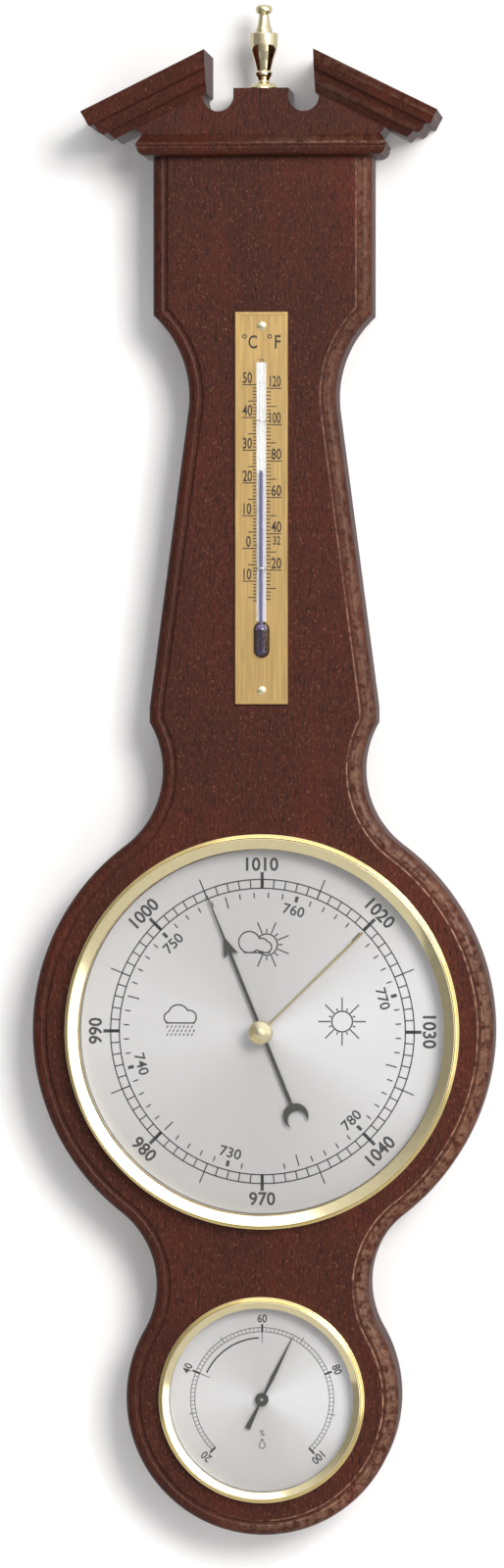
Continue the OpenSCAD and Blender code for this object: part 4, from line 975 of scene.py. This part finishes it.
# %% Finish helper
class Finish:
    """One material: its nodes are made and joined by short calls."""

    def __init__(self, name, **sockets):
        self.material = bpy.data.materials.new(name)
        self.material.use_nodes = True
        self.nodes, self.links = self.material.node_tree.nodes, self.material.node_tree.links
        self.shader = self.nodes["Principled BSDF"]
        for key, value in sockets.items():
            self.shader.inputs[key.replace("_", " ")].default_value = value

    def node(self, kind, links=(), **settings):
        """Adds a node, sets its properties and plain sockets, and joins sources to its other sockets."""
        node = self.nodes.new(kind)
        for key, value in settings.items():
            if hasattr(node, key):
                setattr(node, key, value)
            else:
                node.inputs[key.replace("_", " ")].default_value = value
        for socket, source in dict(links).items():
            self.links.new(source, node.inputs[socket])
        return node

    def place(self, scale=(1, 1, 1), turn=(0, 0, 0), offset=(0, 0, 0)):
        """Object coordinates, moved, turned and scaled."""
        where = self.node("ShaderNodeTexCoord")
        return self.node("ShaderNodeMapping", {"Vector": where.outputs["Object"]}, Scale=scale, Rotation=turn,
                         Location=offset).outputs[0]

    def noise(self, vector, scale, detail=3.0, rough=0.5):
        """Noise with so many lumps to the metre, a signal from 0 to 1 that is mostly near 0.5."""
        return self.node("ShaderNodeTexNoise", {"Vector": vector}, Scale=scale, Detail=detail,
                         Roughness=rough).outputs[0]

    def ramp(self, source, *stops):
        """Colour ramp from (position, colour) stops."""
        ramp = self.node("ShaderNodeValToRGB", {"Fac": source})
        elements = ramp.color_ramp.elements
        while len(elements) < len(stops):
            elements.new(0.5)
        for element, (position, colour) in zip(elements, stops):
            element.position, element.color = position, (*colour, 1)
        return ramp.outputs[0]

    def step(self, source, start, end, low=0.0, high=1.0):
        """Grey ramp from one value up to start, to another value from end on."""
        return self.ramp(source, (start, (low,) * 3), (end, (high,) * 3))

    def math(self, operation, a, b=0.0):
        """One sum or product; either part may be a plain value."""
        node = self.node("ShaderNodeMath", operation=operation)
        for socket, value in zip(node.inputs, (a, b)):
            if isinstance(value, (int, float)):
                socket.default_value = value
            else:
                self.links.new(value, socket)
        return node.outputs[0]

    def mix(self, factor, a, b):
        """Mixes two colours; a factor or a colour may be a plain value."""
        node = self.node("ShaderNodeMix", data_type="RGBA")
        for index, value in ((0, factor), (6, a), (7, b)):
            socket = node.inputs[index]
            if isinstance(value, (int, float)):
                socket.default_value = value
            elif isinstance(value, tuple):
                socket.default_value = (*value, 1)
            else:
                self.links.new(value, socket)
        return node.outputs[2]

    def range(self, source, low, high, start=0.0, end=1.0):
        """Spreads a signal that runs from start to end between two values, which it never passes."""
        return self.node("ShaderNodeMapRange", {"Value": source}, From_Min=start, From_Max=end, To_Min=low,
                         To_Max=high).outputs[0]

    def into(self, socket, source):
        """Joins a source to a socket of the shader."""
        self.links.new(source, self.shader.inputs[socket])

    def bump(self, source, distance, strength=1.0):
        """Raises the surface where a source is bright, by a distance in metres."""
        self.into("Normal", self.node("ShaderNodeBump", {"Height": source}, Distance=distance,
                                      Strength=strength).outputs[0])


def dress(finish, *pieces):
    """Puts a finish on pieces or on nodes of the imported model, in every slot."""
    for piece in pieces:
        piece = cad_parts[piece] if isinstance(piece, str) else piece
        if not piece.data.materials:
            piece.data.materials.append(finish.material)
        for slot in range(len(piece.data.materials)):
            piece.data.materials[slot] = finish.material
    print(finish.material.name, "on", len(pieces), "piece" if len(pieces) == 1 else "pieces")


# %% [markdown]
# ### Stained mahogany
# The wood is open-pored mahogany under a red-brown stain and thin lacquer. Three things show: slow changes
# between brown and red, warmer towards the right, fine streaks along the grain, and pores, short dark
# dashes with a few pale specks, which are painted glints of light in the pores. On the arrises tan shows in
# broken lines: partly stain worn thin, partly a painted highlight where the lamp at the right glints, so it
# is kept mostly to the right side, and it grows low down, where hands reach the board.

# %% Mahogany
DULL, WORN_GLOSS = 0.15, 0.4      # how strongly stained and bare wood mirror
STREAK, FLAKE, PORE = (0.034, 0.0095, 0.0062), (0.122, 0.037, 0.019), (0.017, 0.0065, 0.0050)
# pale pores are painted glints; the bare tan is worn wood and a painted highlight on right-hand arrises
PORE_GLINT, BARE_AND_GLINT = (0.26, 0.115, 0.062), (0.45, 0.25, 0.155)


def mahogany(name, lean, red=1.0):
    """Mahogany whose grain leans by an angle from upright, in the plane of the wall."""
    wood = Finish(name, Specular_IOR_Level=DULL, Coat_Weight=0.02, Coat_Roughness=0.3)
    turn = (0, math.radians(lean), 0)
    where = wood.node("ShaderNodeSeparateXYZ", {0: wood.place()}).outputs
    warm = wood.range(where["X"], 0.0, 0.09, 0.0, 0.04)
    figure = wood.math("ADD", wood.noise(wood.place((1, 1, 0.35), turn), 46, 4, 0.55), warm)
    streak = wood.noise(wood.place((1, 1, 0.06), turn), 900, 3, 0.6)
    flake = wood.noise(wood.place((1, 1, 0.4), turn), 1500, 2, 0.5)
    pore = wood.noise(wood.place((1, 1, 0.16), turn, (3, 1, 2)), 1900, 1, 0.4)
    base = wood.ramp(figure, (0.28, (0.046, 0.0130, 0.0080)), (0.48, (0.062, 0.0148, 0.0085)),
                     (0.62, (0.084 * red, 0.0168, 0.0088)), (0.76, (0.112 * red, 0.0200, 0.0098)))
    base = wood.mix(wood.range(streak, 0.0, 0.8), base, STREAK)
    base = wood.mix(wood.step(flake, 0.50, 0.70, high=0.6), base, FLAKE)
    base = wood.mix(wood.step(pore, 0.58, 0.68, high=0.85), base, PORE)
    # pale specks are painted glints of light in the pores
    glint_specks = wood.noise(wood.place((1, 1, 0.45), turn, (7, 2, 5)), 2700, 1, 0.3)
    base = wood.mix(wood.step(glint_specks, 0.70, 0.77, high=0.7), base, PORE_GLINT)
    wear_and_glint_mask = wood.node("ShaderNodeAttribute", attribute_name="wear", attribute_type="GEOMETRY").outputs["Fac"]
    broken = wood.step(wood.noise(wood.place(offset=(1, 4, 2)), 420, 3, 0.7), 0.38, 0.58)
    # painted highlight: the tan lines are kept mostly to the right side, where the lamp glints on the arrises;
    # low down they grow with wear
    right = wood.range(where["X"], 0.03, 1, -0.02, 0.02)
    low = wood.range(where["Z"], 0.5, 1, -0.1, -0.22)
    wear_and_glint_mask = wood.math("MULTIPLY", wear_and_glint_mask, wood.math("MULTIPLY", broken, wood.math("MULTIPLY", right, low)))
    wood.into("Base Color", wood.mix(wear_and_glint_mask, base, BARE_AND_GLINT))
    wood.into("Specular IOR Level", wood.range(wear_and_glint_mask, DULL, WORN_GLOSS))
    wood.into("Roughness", wood.range(flake, 0.34, 0.56))
    wood.bump(wood.mix(0.5, streak, pore), 0.00006, 0.5)
    return wood


upright_wood = mahogany("mahogany_upright", 0)
level_wood = mahogany("mahogany_level", 90, 0.92)
right_wood = mahogany("mahogany_right_rake", 90 - RAKE_LEAN, 0.95)
left_wood = mahogany("mahogany_left_rake", 90 + RAKE_LEAN, 0.95)
dress(upright_wood, board_piece)
dress(level_wood, shelf_piece, "pediment_board", return_left, return_right)
dress(right_wood, rake_right)
dress(left_wood, rake_left)

# %% [markdown]
# ### Brass and steel
# Polished brass is nearly a mirror, so its colour is what surrounds it, tinted. A little smear in the
# roughness, and a slow ripple left by spinning, keep it from looking computed. The scale plate is brushed
# along its length and lacquered. Hidden steel is plain and slightly stained.

# %% Metals
def metal(name, colour, rough, ripple=0.0, stain=0.08, stretch=(1, 1, 1), scale=300):
    """Metal with smeared roughness, slight stains and an optional ripple in its surface."""
    finish = Finish(name, Metallic=1.0)
    smear = finish.noise(finish.place(stretch), scale, 4, 0.6)
    finish.into("Roughness", finish.range(smear, rough * 0.7, rough * 1.35))
    dull = tuple(c * (1 - stain * 3) for c in colour)
    finish.into("Base Color", finish.mix(finish.step(smear, 0.35, 0.65, 1, 0), colour, dull))
    if ripple:
        finish.bump(finish.noise(finish.place(), 90, 2, 0.5), ripple)
    return finish


polished_brass = metal("polished_brass", (0.93, 0.81, 0.49), 0.10, 0.00002, 0.02)
turned_brass = metal("turned_brass", (0.86, 0.75, 0.48), 0.12, 0.00001, 0.03)
knob_brass = metal("knob_brass", (0.90, 0.82, 0.55), 0.2, 0, 0.02)
bright_wire = metal("bright_wire", (0.80, 0.80, 0.78), 0.2, 0, 0.03)
# its paler colour is a painted highlight on the pressed border line of the plate
border_highlight_brass = metal("border_highlight_brass", (0.78, 0.62, 0.34), 0.25, 0, 0.03)
plain_brass = metal("plain_brass", (0.66, 0.50, 0.24), 0.34, 0, 0.08)
plain_steel = metal("plain_steel", (0.52, 0.53, 0.54), 0.38, 0, 0.06)
case_steel = metal("case_steel", (0.50, 0.49, 0.45), 0.42, 0.00003, 0.08, scale=120)
scale_brass = metal("scale_brass", (0.64, 0.432, 0.178), 0.33, 0, 0.05, (1, 1, 0.03), 2600)
coil_metal = metal("coil_metal", (0.60, 0.36, 0.20), 0.40, 0, 0.08)

# %% Dress the metal pieces
dress(polished_brass, baro_bezel, hygro_bezel)
dress(turned_brass, finial_piece)
dress(knob_brass, "set_knob", set_piece, "knob_washer", "thermo_screws")
dress(bright_wire, "tube_clips")
dress(border_highlight_brass, plate_border)
dress(plain_brass, "dial_pillars", "base_screws", "adjusting_screw", "main_lever", "sector_gear",
      "lower_bridge", "top_bridge", "bridge_pillars", "hygro_dial_feet", "hygro_bridge_screws",
      "hanger_plate", "baro_spacer", "hygro_spacer")
dress(plain_steel, "finial_stud", "hanger_screws", "bow_spring", "rocker_bracket", "rocking_shaft",
      "hand_arbor", "hairspring", "bridge_screws", "hygro_arbor", "hygro_bridge", "movement_base", "capsule")
dress(case_steel, "baro_pan", "hygro_pan")
dress(scale_brass, "thermo_plate")
dress(coil_metal, "hygro_coil")

# %% [markdown]
# ### Brushed silver dials
# The dials are brushed outwards from the centre. Noise read on the direction from the centre only, not on
# the distance, gives rays: a fine set for the brush marks and a slow one for the broad sheen of the
# sunburst. That sheen is a painted reflection in the colour, strongest to the left and to the right, so it
# grows with the square of x, and a little stronger on the right.

# %% Silver dials
SHADE, SILVER, SHINE = (0.55, 0.535, 0.535), (0.64, 0.63, 0.632), (0.83, 0.83, 0.845)
BRUSH_MARK = (0.52, 0.51, 0.51)
SHEEN_BOTH, SHEEN_RIGHT, SHEEN_BROAD = 0.62, 0.10, 0.36   # shares of the painted sheen on both sides, on the right, and from slow noise


def silver_dial(name, centre, bright=1.0):
    """Silver brushed in rays from a centre, given in drawing space."""
    silver = Finish(name, Metallic=0.45, Specular_IOR_Level=0.3)
    x, y, z = (float(v) for v in place((centre[0], centre[1], DIAL)))
    where = silver.place(offset=(-x, -y, -z))
    flat = silver.node("ShaderNodeVectorMath", {0: where}, operation="MULTIPLY")
    flat.inputs[1].default_value = (1, 0, 1)
    ray = silver.node("ShaderNodeVectorMath", {0: flat.outputs[0]}, operation="NORMALIZE").outputs[0]
    fine = silver.noise(ray, 70, 4, 0.75)
    broad = silver.noise(ray, 1.9, 2, 0.5)
    parts = silver.node("ShaderNodeSeparateXYZ", {0: ray})
    across = parts.outputs["X"]
    sheen = silver.math("ADD", silver.math("MULTIPLY", silver.math("MULTIPLY", across, across), SHEEN_BOTH),
                        silver.math("MULTIPLY", across, SHEEN_RIGHT))
    sheen = silver.math("ADD", sheen, silver.math("MULTIPLY", broad, SHEEN_BROAD))
    tones = bright * np.array([SHADE, SILVER, SHINE])
    # painted sheen: the tones from SHADE to SHINE go into the colour
    tone = silver.ramp(sheen, *zip((0.06, 0.45, 0.95), tones.tolist()))
    silver.into("Base Color", silver.mix(silver.range(fine, 0.0, 0.3), tone, BRUSH_MARK))
    silver.into("Roughness", silver.range(fine, 0.36, 0.52))
    silver.bump(fine, 0.00002, 0.35)
    return silver


dress(silver_dial("silver_barometer", (0, 0)), "baro_dial")
dress(silver_dial("silver_hygrometer", (0, -PITCH), 1.08), "hygro_dial")

# %% [markdown]
# ### Ink, paint and rubber
# The hands are painted, the marks are ink, and a black rubber band holds each case in its hole. None of
# them is a pure black or a pure white, and a fine grain keeps each from looking like plastic. The dowels
# are beech, and the strip behind the tube is enamelled white, so they share the helper.

# %% Matt finishes
VARIES = 0.2                      # how much the grain changes the colour and the roughness


def matt(name, colour, rough, grain, depth):
    """Plain dark or pale surface with a fine grain in its roughness, colour and surface."""
    finish = Finish(name)
    speck = finish.noise(finish.place(), grain, 3, 0.6)
    finish.into("Roughness", finish.range(speck, rough * (1 - VARIES), rough * (1 + VARIES)))
    darker, paler = (tuple(min(1, c * share) for c in colour) for share in (1 - VARIES, 1 + VARIES))
    finish.into("Base Color", finish.mix(speck, darker, paler))
    if depth:
        finish.bump(speck, depth, 0.5)
    return finish


ink = matt("scale_ink", (0.035, 0.032, 0.034), 0.55, 3000, 0)
plate_ink = matt("plate_ink", (0.030, 0.018, 0.010), 0.5, 3000, 0)
hand_paint = matt("hand_paint", (0.034, 0.031, 0.030), 0.36, 1500, 0.00001)
band_rubber = matt("band_rubber", (0.022, 0.022, 0.022), 0.75, 900, 0.00003)
dowel_beech = matt("dowel_beech", (0.50, 0.34, 0.19), 0.6, 500, 0.00003)
white_strip = matt("white_strip", (0.86, 0.86, 0.85), 0.35, 500, 0)
dress(ink, baro_print, hygro_print)
dress(plate_ink, thermo_print)
dress(hand_paint, "pressure_hand", "hygro_hand")
dress(band_rubber, "baro_grip_band", "hygro_grip_band")
dress(dowel_beech, "pediment_dowels")
dress(white_strip, "thermo_backing")

# %% [markdown]
# ### Glass and spirit
# The flat panes are thin, so they let lamps through by their alpha and keep only a trace of gloss. The tube
# is solid glass, and part of its light goes straight through. The dye looks pale in the thin thread and
# nearly black in the bulb, so its colour changes with the height, over the tube's neck.

# %% Glass and spirit
IN_BULB, IN_THREAD, THREAD_PALE = (0.045, 0.025, 0.105), (0.19, 0.175, 0.37), (0.24, 0.22, 0.43)
NECK_LOW, NECK_HIGH = -0.131, -0.128          # ends of the tube's neck, in metres from the keyhole
pane = Finish("pane_glass", Base_Color=(0.30, 0.32, 0.32, 1), Alpha=0.05, Specular_IOR_Level=0.4)
pane.into("Roughness", pane.range(pane.noise(pane.place(), 60, 2), 0.01, 0.05))
tube_glass = Finish("tube_glass", Base_Color=(0.97, 0.99, 1.0, 1), Transmission_Weight=1.0, IOR=1.47,
                    Alpha=0.35)
tube_glass.into("Roughness", tube_glass.range(tube_glass.noise(tube_glass.place(), 200, 2), 0.0, 0.03))
spirit = matt("violet_spirit", IN_BULB, 0.15, 400, 0)
height = spirit.node("ShaderNodeSeparateXYZ", {0: spirit.place()}).outputs["Z"]
thin = spirit.range(height, 0, 1, NECK_LOW, NECK_HIGH)
thread = spirit.mix(spirit.noise(spirit.place(), 400), IN_THREAD, THREAD_PALE)
spirit.into("Base Color", spirit.mix(thin, IN_BULB, thread))
dress(pane, "baro_glass", "hygro_glass")
dress(tube_glass, "thermo_tube")
dress(spirit, "thermo_spirit")
print("finishes:", len(bpy.data.materials))

# %% [markdown]
# ## Wall, floor and light
# The station hangs flat on a white wall, lit mostly from the right, with fill from a pale room.
# The wall is seen only from its front, so the back of the board can be looked at as well. The camera sees
# it a little brighter than the lamps make it. Brass mirrors it as one even tone, because a small wall that
# is lit from near would put a hot patch into every ring, which the photograph's large room doesn't.

# %% Wall and floor
CAMERA_GLOW = 0.09                # what the camera sees more than the lamps give


def stage_sheet(name, corners, colour, mirror_tone):
    """A flat sheet that is clear from behind, glows a little to the camera, and mirrors as one plain tone."""
    mesh = bpy.data.meshes.new(name)
    mesh.from_pydata(corners, [], [(0, 1, 2, 3)])
    sheet = bpy.data.objects.new(name, mesh)
    bpy.context.collection.objects.link(sheet)
    finish = Finish(name + "_finish", Base_Color=(*colour, 1), Roughness=0.9, Specular_IOR_Level=0.1)
    glow = finish.node("ShaderNodeEmission", Color=(1, 1, 1, 1))
    rays = finish.node("ShaderNodeLightPath")
    seen = finish.math("MULTIPLY", rays.outputs["Is Camera Ray"], CAMERA_GLOW)
    finish.links.new(seen, glow.inputs["Strength"])
    lit = finish.node("ShaderNodeAddShader", {0: finish.shader.outputs[0], 1: glow.outputs[0]})
    mirrored = finish.node("ShaderNodeEmission", Color=(1, 1, 1, 1), Strength=mirror_tone)
    both = finish.node("ShaderNodeMixShader", {0: rays.outputs["Is Glossy Ray"], 1: lit.outputs[0],
                                               2: mirrored.outputs[0]})
    clear = finish.node("ShaderNodeBsdfTransparent")
    behind = finish.node("ShaderNodeNewGeometry").outputs["Backfacing"]
    mixed = finish.node("ShaderNodeMixShader", {0: behind, 1: both.outputs[0], 2: clear.outputs[0]})
    finish.links.new(mixed.outputs[0], finish.nodes["Material Output"].inputs["Surface"])
    mesh.materials.append(finish.material)
    print(name + ":", [round(side, 2) for side in sheet.dimensions], "m")


WALL_Y, FLOOR_Z = 0.0008, -0.75   # metres: the wall is a hair behind the board, and the floor well under it
REACH, FLOOR_HALF = 4.0, 1.1      # how far the wall goes on, and half the floor's width
wall_corners = [(-REACH, WALL_Y, FLOOR_Z), (REACH, WALL_Y, FLOOR_Z),
                (REACH, WALL_Y, REACH), (-REACH, WALL_Y, REACH)]
floor_corners = [(-FLOOR_HALF, -FLOOR_HALF, FLOOR_Z), (FLOOR_HALF, -FLOOR_HALF, FLOOR_Z),
                 (FLOOR_HALF, WALL_Y, FLOOR_Z), (-FLOOR_HALF, WALL_Y, FLOOR_Z)]
stage_sheet("wall", wall_corners, (0.90, 0.895, 0.90), 0.7)
stage_sheet("floor", floor_corners, (0.86, 0.86, 0.86), 0.68)

# %% [markdown]
# Four square lamps light the board: the key from the upper right, which throws the shadow to the left, a
# weak window and a weak skylight that soften it, and a fill that brass doesn't mirror.

# %% Lamps
def lamp(name, place_at, target, size, watts, colour):
    """Square soft lamp aimed at a point."""
    light = bpy.data.lights.new(name, "AREA")
    light.energy, light.size, light.color = watts, size, colour
    holder = bpy.data.objects.new(name, light)
    bpy.context.collection.objects.link(holder)
    holder.location = place_at
    holder.rotation_euler = (Vector(target) - Vector(place_at)).to_track_quat("-Z", "Y").to_euler()
    holder.visible_camera = False
    print(name + ":", watts, "W,", size, "m square")
    return holder


AIM = (0, 0, -0.18)               # the middle of the board
lamp("key", (1.05, -2.0, 0.65), AIM, 0.9, 46, (1.0, 0.985, 0.96))
lamp("right_window", (1.5, -1.6, -0.2), AIM, 1.3, 7, (1.0, 0.99, 0.97))
lamp("skylight", (0.1, -1.5, 1.1), AIM, 1.3, 7, (0.98, 0.99, 1.0))
fill = lamp("fill", (-0.8, -2.6, 0.3), AIM, 1.4, 4, (0.97, 0.98, 1.0))
fill.visible_glossy = False

# %% [markdown]
# The room behind the camera is bright at the upper right, where its window is, and dim at the lower left.
# Polished brass shows this as pale bands on one side of each ring and dark ones on the other, so glossy
# rays see the window's glow. What lights the object is a dim even room, so that shadows stay deep. To the
# camera the room is plain white.

# %% World
world = bpy.data.worlds.new("pale_room")
bpy.context.scene.world = world
world.use_nodes = True
sky, sky_links = world.node_tree.nodes, world.node_tree.links
WINDOW = Vector((0.62, -0.4, 0.68)).normalized()          # direction of the window
GLOW_FROM, GLOW_TO = -0.1, 0.8    # how far round towards the window the glow starts and is full, as a cosine
DIM, BRIGHT = 0.19, 1.0           # strengths away from the window and in it, in mirror-like rays
ROOM_LIGHT = 0.12                 # strength of the even room that lights the object
ROOM_COLOUR = (0.96, 0.96, 0.97, 1)


def sky_math(operation, a, b):
    """One sum or product of two signals, either of which may be a plain number."""
    node = sky.new("ShaderNodeMath")
    node.operation = operation
    for socket, value in zip(node.inputs, (a, b)):
        if isinstance(value, float):
            socket.default_value = value
        else:
            sky_links.new(value, socket)
    return node.outputs[0]


towards = sky.new("ShaderNodeVectorMath")
towards.operation = "DOT_PRODUCT"
towards.inputs[1].default_value = WINDOW
sky_links.new(sky.new("ShaderNodeTexCoord").outputs["Generated"], towards.inputs[0])
glow = sky.new("ShaderNodeMapRange")
glow.interpolation_type = "SMOOTHSTEP"
for socket, value in (("From Min", GLOW_FROM), ("From Max", GLOW_TO), ("To Min", DIM), ("To Max", BRIGHT)):
    glow.inputs[socket].default_value = value
sky_links.new(towards.outputs["Value"], glow.inputs["Value"])
rays = sky.new("ShaderNodeLightPath")
mirrored = sky_math("MULTIPLY", rays.outputs["Is Glossy Ray"], glow.outputs[0])
strength = sky_math("ADD", sky_math("ADD", mirrored, ROOM_LIGHT),
                    sky_math("MULTIPLY", rays.outputs["Is Camera Ray"], 1.0 - ROOM_LIGHT))
sky["Background"].inputs["Color"].default_value = ROOM_COLOUR
sky_links.new(strength, sky["Background"].inputs["Strength"])
print("room:", len(sky), "nodes; even light", ROOM_LIGHT)

# %% [markdown]
# ## Camera
# The photograph was taken from about two metres, a little to the right, so the right side of the board and
# of each bezel shows. The place, turn and lens below reproduce the parallax between the wall and the front.

# %% Camera
IMAGE_H = 1600                    # height of the photograph, in pixels
FOCAL = 7063.7                    # focal length in the same pixels
SENSOR = 36.0                     # the sensor's long side, in mm
EYE_X, EYE_Y, EYE_RISE = 0.1780, -2.2851, 0.1286          # metres; the rise is above the barometer's centre
DIP, TURN = 0.0208, 0.0799        # how far the view dips and turns to the left, in radians
camera = bpy.data.cameras.new("camera")
camera.sensor_width = SENSOR
camera.lens = FOCAL / IMAGE_H * SENSOR
eye = bpy.data.objects.new("camera", camera)
bpy.context.collection.objects.link(eye)
eye.location = (EYE_X, EYE_Y, EYE_RISE - HANG * MM)
eye.rotation_euler = (math.radians(90) - DIP, 0, TURN)
bpy.context.scene.camera = eye
bpy.context.scene.view_settings.view_transform = "Standard"
print("lens", round(camera.lens, 1), "mm")
